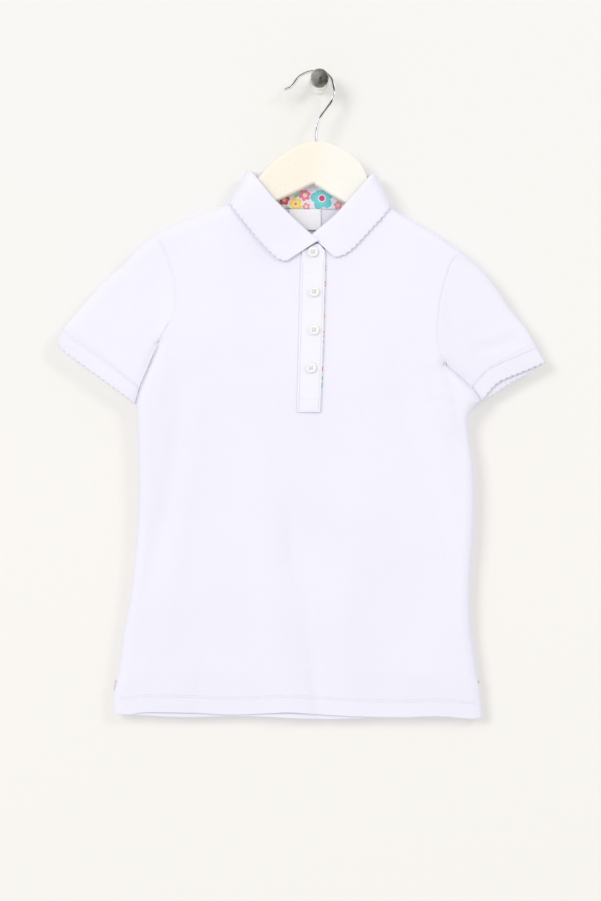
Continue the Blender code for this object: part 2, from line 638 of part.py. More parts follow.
def make_placket():
    shares = np.linspace(0, 1, len(PLACKET_OUT))
    rows = []
    for z in np.linspace(PLACKET[0][0], PLACKET[-1][0], PLACKET_ROWS):
        left, right = placket_edges(z)
        rows.append([(left + (right - left) * share, z) for share in shares])
    rows.append([((a[0] + b[0]) / 2, (a[1] + b[1]) / 2) for a, b in zip(rows[-1], PLACKET_TOP)])
    rows.append(PLACKET_TOP)
    grid = np.array([[(x, front(x, z) - out, z) for (x, z), out in zip(row, PLACKET_OUT)] for row in rows])
    normals = np.zeros_like(grid)
    normals[..., 1] = -1
    wall("placket", grid, normals, PIQUE, colour=WHITE, roughness=0.9)

    def under_columns(z):
        left, right = placket_edges(z)
        return left + 1, (left + right) / 2, right - 1
    behind = -(PIQUE + SEAM_GAP + 0.05)
    strip_on_front("placket_under", under_columns, np.linspace(-357, -190, 8), [behind] * 3, STRIP,
                   colour=WHITE, roughness=0.9)

    def facing_columns(z):
        return placket_edges(z)[1] - 5, placket_edges(z)[1] + 0.7
    strip_on_front("placket_facing", facing_columns, np.linspace(-352, -192, 8), [1.35, 1.35], STRIP,
                   colour=(0.75, 0.86, 0.88), roughness=0.8)


TAPE_ABOVE, TAPE_BELOW = 12.5, 7.5  # of the neckline at the back
LABEL = dict(left=-32.6, right=2.0, top=-138.9, bottom=-161.5)


def make_tape_and_label():
    seam = spline(BACK_NECK, np.linspace(0.1, 0.9, 11))
    drop = STRIP + SEAM_GAP + 0.05
    rows = []
    for dz in (-TAPE_BELOW, 0, TAPE_ABOVE):
        rows.append([(x, back(x, z) - RIB - drop, z + dz) for x, z in seam])
    grid = np.array(rows)
    normals = np.zeros_like(grid)
    normals[..., 1] = -1
    wall("neck_tape", grid, normals, STRIP, colour=(0.9, 0.88, 0.93), roughness=0.8)
    rows = []
    for t in np.linspace(0, 1, 4):
        z = LABEL["top"] * (1 - t) + LABEL["bottom"] * t
        rows.append([(x, back(x, z) - PIQUE - drop - 1.2 * t**2, z)
                     for x in np.linspace(LABEL["left"], LABEL["right"], 4)])
    grid = np.array(rows)
    normals = np.zeros_like(grid)
    normals[..., 1] = -1
    wall("label", grid, normals, STRIP, colour=(0.9, 0.9, 0.92), roughness=0.6)


# ---- hanger, hook, peg and buttons ----

# Hanger, tip to tip: x, upper edge, lower edge
HANGER = [
    (-167.0, -169.0, -174.0), (-163.0, -165.5, -180.0), (-150.0, -157.6, -179.0), (-121.0, -147.0, -166.6),
    (-98.0, -140.5, -155.8), (-89.0, -136.8, -151.6), (-82.3, -132.0, -148.4), (-76.5, -123.4, -146.0),
    (-71.5, -114.2, -143.6), (-67.0, -106.6, -141.3), (-61.7, -100.8, -138.8), (-47.7, -86.8, -132.2),
    (-31.5, -75.2, -124.5), (-17.5, -68.6, -117.8), (-6.7, -66.2, -112.7), (-3.4, -66.2, -114.5),
    (11.7, -68.4, -124.0), (27.9, -76.2, -133.8), (41.9, -86.8, -142.3), (47.0, -94.5, -145.6),
    (50.5, -102.0, -148.0), (53.8, -111.0, -150.5), (57.0, -120.5, -152.9), (60.5, -130.5, -155.0),
    (64.8, -137.5, -157.5), (71.0, -142.5, -160.3), (79.0, -147.2, -164.0), (104.6, -160.0, -176.0),
    (125.0, -170.0, -184.4), (139.0, -180.0, -190.4), (144.0, -184.6, -192.0),
]
HANGER_ROUNDING = 4.0
SOCKET_CLEARANCE = 0.3  # round the hook's wire, and 0.2 more below its end


def make_hanger():
    half = HANGER_THICKNESS / 2
    rings = []
    for x, top, bottom in HANGER:
        rounding = min(HANGER_ROUNDING, (top - bottom) * 0.45)
        ring = []
        for corner in range(4):
            sy, sz = ((1, 1), (-1, 1), (-1, -1), (1, -1))[corner]
            for step in range(3):
                angle = pi / 2 * (corner + step / 2)
                y = sy * (half - rounding) + rounding * cos(angle)
                z = (top - rounding if sz > 0 else bottom + rounding) + rounding * sin(angle)
                ring.append((x, HOOK_PLANE + y, z))
        rings.append(ring)
    count = len(rings[0])
    vertices = [point for ring in rings for point in ring]
    faces = [list(range(count)), [len(vertices) - 1 - k for k in range(count)]]
    for i in range(len(rings) - 1):
        for k in range(count):
            a, b = i * count + k, i * count + (k + 1) % count
            faces.append([a, b, b + count, a + count])
    hanger = add_object("hanger", vertices, faces, colour=(0.93, 0.87, 0.74), roughness=0.3)
    bore = WIRE_RADIUS + SOCKET_CLEARANCE
    bottom = HOOK[-1][1] - HANGER_TOP - SOCKET_CLEARANCE - 0.2
    socket = lathe("hook_socket", [(0, 20), (bore, 20), (bore, bottom), (0, bottom)], 12,
                   colour=(0.5, 0.5, 0.5), roughness=0.5)
    socket.location = Vector((HOOK[-1][0], HOOK_PLANE, HANGER_TOP)) * MM
    cut_with(hanger, socket)


def lathe(name, profile, segments, **look):
    """A body turned about its own Z: profile is (radius, height) down the outside, closed on the axis."""
    vertices, rings = [], []
    for radius, height in profile:
        if radius == 0:
            rings.append([len(vertices)])
            vertices.append((0, 0, height))
        else:
            rings.append([len(vertices) + k for k in range(segments)])
            vertices += [(radius * cos(2 * pi * k / segments), radius * sin(2 * pi * k / segments), height)
                         for k in range(segments)]
    faces = []
    for upper, lower in zip(rings, rings[1:]):
        for k in range(segments):
            n = (k + 1) % segments
            above, below = len(upper), len(lower)
            corners = [upper[k % above], lower[k % below], lower[n % below], upper[n % above]]
            faces.append(list(dict.fromkeys(corners)))
    return add_object(name, vertices, faces, **look)


def cut_with(body, cutter):
    cutter.hide_render = True
    cutter.display_type = "WIRE"
    cut = body.modifiers.new("cut", "BOOLEAN")
    cut.operation = "DIFFERENCE"
    cut.solver = "EXACT"
    cut.object = cutter


# Hook, free tip to the end in the hanger: x, z of the wire's middle
HANGER_TOP = -66.2
HOOK = [
    (-36.5, -9.6), (-33.0, -8.4), (-29.0, -5.6), (-22.9, 2.8), (-15.3, 7.8), (-7.7, 9.8), (0.0, 10.0),
    (6.2, 8.3), (11.0, 4.6), (14.2, -0.8), (16.0, -9.0), (15.8, -17.0), (13.0, -24.0), (7.4, -31.7),
    (2.0, -39.3), (-1.0, -46.0), (-2.6, -54.0), (-3.2, -62.0), (-3.4, -82.0),
]


def make_hook():
    curve = bpy.data.curves.new("hanger_hook", "CURVE")
    curve.dimensions = "3D"
    curve.bevel_depth = WIRE_RADIUS * MM
    curve.bevel_resolution = 2
    curve.use_fill_caps = True
    points = spline(HOOK, np.linspace(0, 1, 48))
    line = curve.splines.new("POLY")
    line.points.add(len(points) - 1)
    for target, (x, z) in zip(line.points, points):
        target.co = (x * MM, HOOK_PLANE * MM, z * MM, 1)
    curve.materials.append(material("hanger_hook", (0.75, 0.75, 0.76), 0.12, 1.0))
    bpy.context.scene.collection.objects.link(bpy.data.objects.new("hanger_hook", curve))


def make_peg():
    """A wall peg: a flange on the wall, a neck that carries the hook, and a wider head."""
    behind = PEG_LENGTH - PEG_HEAD_DEPTH
    profile = [
        (0, PEG_LENGTH), (PEG_HEAD_RADIUS - 1, PEG_LENGTH), (PEG_HEAD_RADIUS, PEG_LENGTH - 1),
        (PEG_HEAD_RADIUS, behind + 1), (PEG_HEAD_RADIUS - 0.8, behind), (PEG_NECK_RADIUS, behind),
        (PEG_NECK_RADIUS, PEG_FLANGE_DEPTH), (PEG_FLANGE_RADIUS - 0.4, PEG_FLANGE_DEPTH),
        (PEG_FLANGE_RADIUS, PEG_FLANGE_DEPTH - 1), (PEG_FLANGE_RADIUS, 0), (0, 0),
    ]
    peg = lathe("wall_peg", profile, 28, colour=(0.34, 0.33, 0.31), roughness=0.3, metallic=1.0)
    peg.rotation_euler = (pi / 2, 0, 0)


BUTTONS = [(-6.7, -186.6), (-5.6, -229.4), (-5.6, -270.4), (-8.8, -311.4)]
BUTTON_RADIUS, BUTTON_THICKNESS = 5.5, 2.4
BUTTON_RIM, BUTTON_DISH = 1.4, 1.7  # width of the raised rim, and thickness inside it
BUTTON_HOLE_RADIUS, BUTTON_HOLE_AWAY = 0.75, 1.15
BUTTON_SEAT = SEAM_GAP + 0.15  # gap between a button and the band


def make_buttons():
    r, t = BUTTON_RADIUS, BUTTON_THICKNESS
    inside = r - BUTTON_RIM
    profile = [
        (0, BUTTON_DISH), (inside - 0.7, BUTTON_DISH), (inside, t), (r - 0.5, t), (r, t - 0.6), (r, 0.5),
        (r - 0.5, 0), (0, 0),
    ]
    for k, (x, z) in enumerate(BUTTONS, 1):
        place = Vector((x, front(x, z) - PLACKET_OUT[3] - BUTTON_SEAT, z)) * MM
        button = lathe(f"button_{k}", profile, 16, colour=(0.88, 0.88, 0.88), roughness=0.25)
        button.location, button.rotation_euler = place, (pi / 2, 0, 0)
        for number, (dx, dz) in enumerate([(1, 1), (1, -1), (-1, 1), (-1, -1)], 1):
            hole = lathe(f"button_{k}_hole_{number}",
                         [(0, 4), (BUTTON_HOLE_RADIUS, 4), (BUTTON_HOLE_RADIUS, -1), (0, -1)], 6,
                         colour=(0.5, 0.5, 0.5), roughness=0.5)
            hole.location = place + Vector((dx, 0, dz)) * BUTTON_HOLE_AWAY * MM
            hole.rotation_euler = (pi / 2, 0, 0)
            cut_with(button, hole)


def clear_scene():
    for old in list(bpy.data.objects):
        bpy.data.objects.remove(old, do_unlink=True)


clear_scene()
make_front()
make_back()
make_sleeve("left", LEFT_ARMHOLE, LEFT_SLEEVE_TOP, LEFT_SLEEVE_UNDER, LEFT_CUFF, LEFT_CUFF)
make_sleeve("right", RIGHT_ARMHOLE, RIGHT_SLEEVE_TOP, RIGHT_SLEEVE_UNDER, RIGHT_CUFF_FRONT, RIGHT_CUFF_BACK)
make_collar()
make_placket()
make_tape_and_label()
make_hanger()
make_hook()
make_peg()
make_buttons()
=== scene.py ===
from math import cos, pi, sin

import bmesh
import bpy
import numpy as np
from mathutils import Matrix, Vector


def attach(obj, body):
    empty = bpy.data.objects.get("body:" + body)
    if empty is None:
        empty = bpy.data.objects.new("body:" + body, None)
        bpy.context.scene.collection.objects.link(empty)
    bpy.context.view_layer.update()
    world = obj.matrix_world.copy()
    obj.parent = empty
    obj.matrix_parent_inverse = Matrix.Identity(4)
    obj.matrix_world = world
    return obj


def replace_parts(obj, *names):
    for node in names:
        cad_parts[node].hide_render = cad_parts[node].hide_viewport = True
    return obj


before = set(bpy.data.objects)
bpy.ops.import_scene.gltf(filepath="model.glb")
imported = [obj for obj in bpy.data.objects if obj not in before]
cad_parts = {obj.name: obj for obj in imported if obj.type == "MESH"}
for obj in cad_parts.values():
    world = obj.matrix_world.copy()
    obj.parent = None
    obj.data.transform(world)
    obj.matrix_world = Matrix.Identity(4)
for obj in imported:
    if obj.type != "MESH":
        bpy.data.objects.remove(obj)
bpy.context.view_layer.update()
print("frame loaded,", len(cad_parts), "nodes")

mm = 0.001  # every table below is in millimetres: x to the viewer's right, y into the wall, z up

# The photograph's view: where it looks, and how much of the shirt one of its pixels covers
shot = dict(mmPerPixel=1.08, pixelsHigh=901, distance=2300.0, plane=-25.0, centre=(-20.2, -400.5), sensor=36.0)
lamps = dict(
    key=dict(place=(-4300, -6300, 2150), aim=(0, 0, -400), wide=2900, power=172.0, colour=(1.0, 0.99, 0.975)),
    fill=dict(place=(2300, -3000, 1500), aim=(0, 0, -400), wide=1000, power=19.0, colour=(1.0, 0.99, 0.98)),
    rear=dict(place=(500, 2400, 500), aim=(0, 0, -350), wide=1800, power=14.0, colour=(1.0, 1.0, 1.0)),
)
surroundings = dict(colour=(1.0, 0.995, 0.985), strength=0.80)
# cards that only the shiny parts reflect: middle, half sizes and material
cards = [
    ((0, -2700, 1200), (2200, 1400), "darkCard"),
    ((0, -2700, -700), (2200, 480), "brightCard"),
    ((0, -2700, -2300), (2200, 1000), "darkCard"),
]


def link(thing):
    bpy.context.scene.collection.objects.link(thing)
    return thing


def makeCamera():
    lens = bpy.data.cameras.new("camera")
    camera = link(bpy.data.objects.new("camera", lens))
    lens.sensor_width = shot["sensor"]
    lens.lens = shot["sensor"] * shot["distance"] / (shot["mmPerPixel"] * shot["pixelsHigh"])
    x, z = shot["centre"]
    camera.location = Vector((x, shot["plane"] - shot["distance"], z)) * mm
    camera.rotation_euler = (pi / 2, 0, 0)
    bpy.context.scene.camera = camera


def makeLamp(name, place, aim, wide, power, colour):
    light = bpy.data.lights.new(name, "AREA")
    light.size, light.energy, light.color = wide * mm, power, colour
    lamp = link(bpy.data.objects.new(name, light))
    lamp.location = Vector(place) * mm
    lamp.rotation_mode = "QUATERNION"
    lamp.rotation_quaternion = (Vector(aim) - Vector(place)).to_track_quat("-Z", "Y")


class Value:
    # wraps a socket, so that shader maths reads as sums
    def __init__(self, tree, socket=None):
        self.tree, self.socket = tree, socket

    def node(self, kind, settings=None, inputs=None, out=0):
        made = self.tree.nodes.new(kind)
        for key, value in (settings or {}).items():
            setattr(made, key, value)
        for key, value in (inputs or {}).items():
            if isinstance(value, Value):
                self.tree.links.new(value.socket, made.inputs[key])
            else:
                made.inputs[key].default_value = value
        return Value(self.tree, made.outputs[out])

    def maths(self, operation, *values):
        return self.node("ShaderNodeMath", dict(operation=operation), dict(enumerate(values)))

    def __add__(self, other):
        return self.maths("ADD", self, other)

    def __sub__(self, other):
        return self.maths("SUBTRACT", self, other)

    def __rsub__(self, other):
        return self.maths("SUBTRACT", other, self)

    def __mul__(self, other):
        return self.maths("MULTIPLY", self, other)

    __radd__ = __add__
    __rmul__ = __mul__

    def __pow__(self, other):
        return self.maths("POWER", self, other)

    def sine(self):
        return self.maths("SINE", self)

    def size(self):
        return self.maths("ABSOLUTE", self)

    def within(self, low, high):
        # 0 at low, 1 at high, smooth between
        return self.node("ShaderNodeMapRange", dict(interpolation_type="SMOOTHSTEP"),
                         {0: self, 1: low, 2: high, 3: 0.0, 4: 1.0})

    def mix(self, first, second):
        # first where this value is 0, second where it is 1
        return self.node("ShaderNodeMix", dict(data_type="RGBA"), {0: self, 6: first, 7: second}, 2)

    def xyz(self):
        split = self.node("ShaderNodeSeparateXYZ", None, {0: self}).socket.node
        return [Value(self.tree, socket) for socket in split.outputs]


def rgb(red, green, blue):
    # a colour as a screen shows it, 0 to 255, as the linear value that a shader takes
    return (*[((c / 255 + 0.055) / 1.055) ** 2.4 if c > 10 else c / 3294.6 for c in (red, green, blue)], 1.0)


def makeMaterial(name, paint, **fixed):
    # paint(start, place) gives what varies over the surface; fixed are plain numbers on the shader
    made = bpy.data.materials.new(name)
    made.use_nodes = True
    tree = made.node_tree
    shader = tree.nodes["Principled BSDF"]
    start = Value(tree)
    looks = paint(start, start.node("ShaderNodeTexCoord", out="Object"))
    depth = looks.pop("depth", 0)
    if "height" in looks:
        looks["Normal"] = start.node("ShaderNodeBump", None,
                                     {"Strength": 1.0, "Distance": depth, "Height": looks.pop("height")})
    for socket, value in [*looks.items(), *fixed.items()]:
        if isinstance(value, Value):
            tree.links.new(value.socket, shader.inputs[socket])
        else:
            shader.inputs[socket].default_value = value
    return made


def grain(start, place, scale, detail=2.0):
    return start.node("ShaderNodeTexNoise", None, {"Vector": place, "Scale": scale, "Detail": detail})


# Looks of each finish: lengths in millimetres, noise scales to the metre, depths of relief in metres
# rib is painted a little lighter than white: a painted light that offsets the shade the rib's bump gives, so that
# the cuffs and collar look as bright as the body
clothLooks = dict(white=rgb(239.5, 238, 250.5), shade=rgb(237.5, 236, 248.5), band=rgb(242, 241, 250),
                  rib=rgb(243, 241.5, 252.5))
piqueLooks = dict(cell=1.25, patches=9.0, fuzz=900.0, depth=0.00009)


def paintPique(first, second):
    def paint(start, place):
        x, _, z = place.xyz()
        across, up = (part * (pi / (piqueLooks["cell"] * mm)) for part in (x, z))
        cells = ((across + up).sine() * (across - up).sine()).size()
        patches = grain(start, place, piqueLooks["patches"]).within(0.3, 0.7)
        return {"Base Color": patches.mix(clothLooks[first], clothLooks[second]),
                "height": cells * 0.7 + grain(start, place, piqueLooks["fuzz"]) * 0.5,
                "depth": piqueLooks["depth"]}
    return paint


ribLooks = dict(wale=1.35, course=1.1, border=2.2, borderReach=0.5, patches=10.0, fuzz=1000.0, depth=0.00016)


def paintRib(start, place):
    # wales run across the strip, and a plainer band borders the picot edge
    along, inward, _ = start.node("ShaderNodeUVMap", dict(uv_map="cloth")).xyz()
    wales = (along * (2 * pi / (ribLooks["wale"] * mm))).sine() * 0.5 + 0.5
    border = (inward - ribLooks["border"] * mm).size().within(ribLooks["borderReach"] * mm, 0.0)
    courses = (inward * (2 * pi / (ribLooks["course"] * mm))).sine() * 0.2
    patches = grain(start, place, ribLooks["patches"]).within(0.3, 0.7)
    fuzz = grain(start, place, ribLooks["fuzz"])
    return {"Base Color": patches.mix(clothLooks["rib"], clothLooks["white"]),
            "height": wales * (1 - border) + courses + fuzz * 0.4 - border * 0.5, "depth": ribLooks["depth"]}


threadLooks = dict(dark=rgb(232, 230, 240), light=rgb(246, 245, 251), twist=0.7, depth=0.00005)
tackLooks = dict(dark=rgb(226, 222, 200), light=rgb(238, 235, 218), fuzz=2500.0, depth=0.0001)


def paintThread(start, place):
    x, _, z = place.xyz()
    twist = ((x + z) * (2 * pi / (threadLooks["twist"] * mm))).sine()
    # colour follows the twist: painted shade in its grooves and painted light on its raised strands
    return {"Base Color": (twist * 0.5 + 0.5).mix(threadLooks["dark"], threadLooks["light"]),
            "height": twist, "depth": threadLooks["depth"]}


def paintTack(start, place):
    fuzz = grain(start, place, tackLooks["fuzz"])
    return {"Base Color": fuzz.mix(tackLooks["dark"], tackLooks["light"]),
            "height": fuzz, "depth": tackLooks["depth"]}


# Flowers on the woven strips, of this script's own design: x, z, radius, petals, turn, petal, heart
teal, aqua, sun = rgb(112, 208, 214), rgb(120, 214, 220), rgb(250, 214, 104)
neckFlowers = [
    (3.0, -127.0, 12.8, 5, 0.4, teal, rgb(222, 84, 130)),
    (-25.5, -133.0, 7.4, 5, 0.0, rgb(250, 218, 110), rgb(240, 150, 90)),
    (-38.0, -128.5, 6.4, 5, 1.0, rgb(222, 92, 104), rgb(250, 220, 140)),
    (-15.5, -123.5, 6.6, 6, 0.7, rgb(236, 128, 160), rgb(252, 226, 150)),
    (-14.0, -136.0, 4.4, 5, 0.2, rgb(240, 150, 172), rgb(250, 226, 150)),
    (20.5, -134.5, 4.8, 5, 0.5, rgb(240, 150, 176), rgb(250, 220, 120)),
    (26.0, -121.5, 5.8, 6, 1.2, teal, sun),
    (-51.0, -121.5, 6.0, 6, 0.3, teal, sun),
    (39.0, -129.5, 5.6, 5, 0.1, rgb(250, 196, 120), rgb(222, 92, 110)),
]
facingFlowers = [
    (5.5, -204.0, 4.6, 5, 0.1, aqua, sun),
    (5.5, -221.0, 3.4, 5, 0.9, rgb(240, 120, 150), rgb(250, 226, 150)),
    (5.5, -238.0, 4.4, 6, 0.4, aqua, rgb(236, 120, 160)),
    (5.5, -256.0, 3.6, 5, 0.6, sun, rgb(226, 92, 112)),
    (5.5, -275.0, 4.2, 6, 1.3, rgb(246, 150, 176), rgb(252, 232, 150)),
    (5.5, -293.0, 4.4, 5, 0.2, aqua, sun),
    (5.5, -312.0, 3.4, 5, 0.8, rgb(226, 92, 112), rgb(250, 226, 150)),
    (5.5, -331.0, 4.4, 6, 0.5, aqua, rgb(236, 120, 160)),
]
# Leaves: x, z, length, turn
neckLeaves = [(-24.0, -123.5, 4.2, 0.6), (-33.0, -138.0, 4.0, 2.6), (31.0, -137.0, 4.0, 0.4),
              (-45.5, -135.0, 3.8, 1.2)]
facingLeaves = [(4.0, -213.0, 3.4, 1.1), (3.6, -247.0, 3.4, 2.0), (3.2, -284.0, 3.4, 0.7),
                (2.8, -322.0, 3.4, 2.3)]
printLooks = dict(ground=rgb(240, 237, 243), leaf=rgb(160, 206, 160), heartRing=rgb(250, 240, 236),
                  slim=2.4, thread=0.32, depth=0.00005)


def paintPrint(flowers, leaves):
    def paint(start, place):
        x, _, z = place.xyz()
        x, z = x * (1 / mm), z * (1 / mm)
        colour = start.node("ShaderNodeRGB")
        colour.socket.default_value = printLooks["ground"]
        for leafX, leafZ, size, turn in leaves:
            dx, dz = x - leafX, z - leafZ
            along, aside = dx * cos(turn) + dz * sin(turn), dz * cos(turn) - dx * sin(turn)
            oval = (along * (1 / size)) ** 2 + (aside * (printLooks["slim"] / size)) ** 2
            colour = oval.within(1.05, 0.9).mix(colour, printLooks["leaf"])
        for flowerX, flowerZ, radius, petals, turn, petal, heart in flowers:
            dx, dz = x - flowerX, z - flowerZ
            away = (dx * dx + dz * dz) ** 0.5
            angle = dz.maths("ARCTAN2", dz, dx) * (petals / 2) + turn
            edge = angle.sine().size() * (0.3 * radius) + 0.7 * radius
            veins = ((angle * 6).sine() * 0.5 + 0.5) * away.within(0.9 * radius, 0.2 * radius)
            pale = tuple(min(1.0, c * 1.25 + 0.05) for c in petal[:3]) + (1.0,)
            colour = (edge - away).within(-0.15, 0.25).mix(colour, veins.mix(petal, pale))
            colour = away.within(0.36 * radius, 0.3 * radius).mix(colour, printLooks["heartRing"])
            colour = away.within(0.27 * radius, 0.22 * radius).mix(colour, heart)
        weave = (x * (pi / printLooks["thread"])).sine() * (z * (pi / printLooks["thread"])).sine()
        return {"Base Color": colour, "height": weave, "depth": printLooks["depth"]}
    return paint


labelLooks = dict(light=rgb(250, 250, 253), shade=rgb(247, 246, 251), satin=0.6,
                  patches=40.0, fuzz=700.0, depth=0.00004)


def paintLabel(start, place):
    _, _, z = place.xyz()
    satin = (z * (2 * pi / (labelLooks["satin"] * mm))).sine() * 0.5 + grain(start, place, labelLooks["fuzz"])
    patches = grain(start, place, labelLooks["patches"]).within(0.3, 0.7)
    return {"Base Color": patches.mix(labelLooks["light"], labelLooks["shade"]),
            "height": satin, "depth": labelLooks["depth"]}


# left and right are the arms' colours: the left is painted darker and the right lighter, a painted shade and a
# painted light for how each arm faces the lamps
hangerLooks = dict(left=rgb(248, 241, 226), right=rgb(249, 247, 240), paintedLightChange=(-20.0, 30.0),  # from x to x
                   bend=17.0, bendReach=7.0, slope=0.09, haze=260.0, hazeDepth=0.0005, roughness=0.27)


def paintHanger(start, place):
    # the two arms meet in a soft bend that catches the light; across it the colour changes from a painted shade on
    # the left arm to a painted light on the right arm
    x, _, _ = place.xyz()
    bend = ((x - hangerLooks["bend"] * mm) ** 2 + (hangerLooks["bendReach"] * mm) ** 2) ** 0.5
    haze = grain(start, place, hangerLooks["haze"])
    paintedLightChange = x.within(*(edge * mm for edge in hangerLooks["paintedLightChange"]))
    return {"Base Color": paintedLightChange.mix(hangerLooks["left"], hangerLooks["right"]),
            "Roughness": haze.within(0.2, 0.8) * 0.02 + hangerLooks["roughness"],
            "height": haze * (hangerLooks["hazeDepth"] * mm) - bend * hangerLooks["slope"], "depth": 1.0}


chromeLooks = dict(light=rgb(243, 243, 245), dull=rgb(228, 228, 231), patches=60.0, scratches=1400.0,
                   roughness=0.07, depth=0.0000005)


def paintChrome(start, place):
    scratches = grain(start, place, chromeLooks["scratches"], 3.0)
    patches = grain(start, place, chromeLooks["patches"]).within(0.3, 0.8)
    return {"Base Color": patches.mix(chromeLooks["light"], chromeLooks["dull"]),
            "Roughness": scratches.within(0.3, 0.8) * 0.04 + chromeLooks["roughness"],
            "height": scratches, "depth": chromeLooks["depth"]}


# dark and light are the painted shade and painted highlight of the head's sweep; the neck and flange colour is a
# painted reflection
pegLooks = dict(dark=rgb(100, 97, 89), light=rgb(236, 234, 225), polished=rgb(248, 247, 242),
                headStart=(-28.5, -29.5), rings=0.9, lit=0.9, stains=320.0, fuzz=900.0, depth=0.00002)


def paintPeg(start, place):
    # a turned head whose colour is a painted highlight and painted shade sweeping round its axis, as brushed steel
    # shows them, mixed with stains; and a polished neck and flange behind it, painted near-white as a painted
    # reflection of the bright room
    x, y, z = place.xyz()
    rings = ((x * x + z * z) ** 0.5 * (2 * pi / (pegLooks["rings"] * mm))).sine()
    paintedHighlight = ((z.maths("ARCTAN2", z, x) - pegLooks["lit"] + rings * 0.12).sine() * 0.5 + 0.5) ** 1.2
    stains = grain(start, place, pegLooks["stains"], 4.0).within(0.3, 0.7)
    head = y.within(*(depth * mm for depth in pegLooks["headStart"]))
    turned = (paintedHighlight * 0.8 + stains * 0.25).mix(pegLooks["dark"], pegLooks["light"])
    return {"Base Color": head.mix(pegLooks["polished"], turned),
            "Roughness": head * 0.22 + 0.12, "Metallic": head * 0.75 + 0.25,
            "height": rings * 0.5 + grain(start, place, pegLooks["fuzz"]), "depth": pegLooks["depth"]}


buttonLooks = dict(light=rgb(250, 249, 247), shade=rgb(243, 242, 241), rings=90.0, wander=9.0, depth=0.00001)


def paintButton(start, place):
    rings = {"Vector": place, "Scale": buttonLooks["rings"], "Distortion": buttonLooks["wander"], "Detail": 2.0}
    pearl = start.node("ShaderNodeTexWave", dict(wave_type="RINGS"), rings, 1)
    return {"Base Color": pearl.mix(buttonLooks["light"], buttonLooks["shade"]),
            "Roughness": pearl * 0.08 + 0.16, "height": pearl, "depth": buttonLooks["depth"]}


# upper and lower are the wall's colour above z 100 and below z -500; the lower is painted lighter, a painted light
# that evens out how the lamps' light falls off lower down the wall
wallLooks = dict(upper=rgb(238.6, 238.4, 235.6), lower=rgb(242.2, 240.2, 236),
                 paintedLightChange=(100.0, -500.0),  # from z to z
                 grain=60.0, depth=0.0002)


def paintWall(start, place):
    _, _, z = place.xyz()
    paintedLightChange = z.within(*(edge * mm for edge in wallLooks["paintedLightChange"]))
    return {"Base Color": paintedLightChange.mix(wallLooks["upper"], wallLooks["lower"]),
            "height": grain(start, place, wallLooks["grain"], 4.0), "depth": wallLooks["depth"]}


def paintCard(socket, light):
    def paint(start, place):
        dimmer, brighter = (rgb(level, level, level) for level in (light, light + 4))
        return {socket: grain(start, place, 1.0).mix(dimmer, brighter)}
    return paint


def makeMaterials():
    cloth = {"Roughness": 0.86, "Sheen Weight": 0.25, "Sheen Roughness": 0.5, "Specular IOR Level": 0.25}
    woven = {"Roughness": 0.7, "Specular IOR Level": 0.3}
    finishes = dict(
        pique=(paintPique("white", "shade"), cloth),
        band=(paintPique("band", "white"), cloth),
        rib=(paintRib, cloth),
        thread=(paintThread, woven),
        tack=(paintTack, woven),
        neckPrint=(paintPrint(neckFlowers, neckLeaves), woven),
        facingPrint=(paintPrint(facingFlowers, facingLeaves), woven),
        label=(paintLabel, {"Roughness": 0.5, "Sheen Weight": 0.2}),
        hanger=(paintHanger, {"Coat Weight": 0.3, "Coat Roughness": 0.22}),
        chrome=(paintChrome, {"Metallic": 1.0}),
        peg=(paintPeg, {}),
        button=(paintButton, {"Coat Weight": 0.5, "Coat Roughness": 0.08}),
        wall=(paintWall, {"Roughness": 0.95}),
        darkCard=(paintCard("Base Color", 18), {"Roughness": 1.0}),
        brightCard=(paintCard("Emission Color", 250), {"Emission Strength": 1.2}),
    )
    return {name: makeMaterial(name, paint, **fixed) for name, (paint, fixed) in finishes.items()}


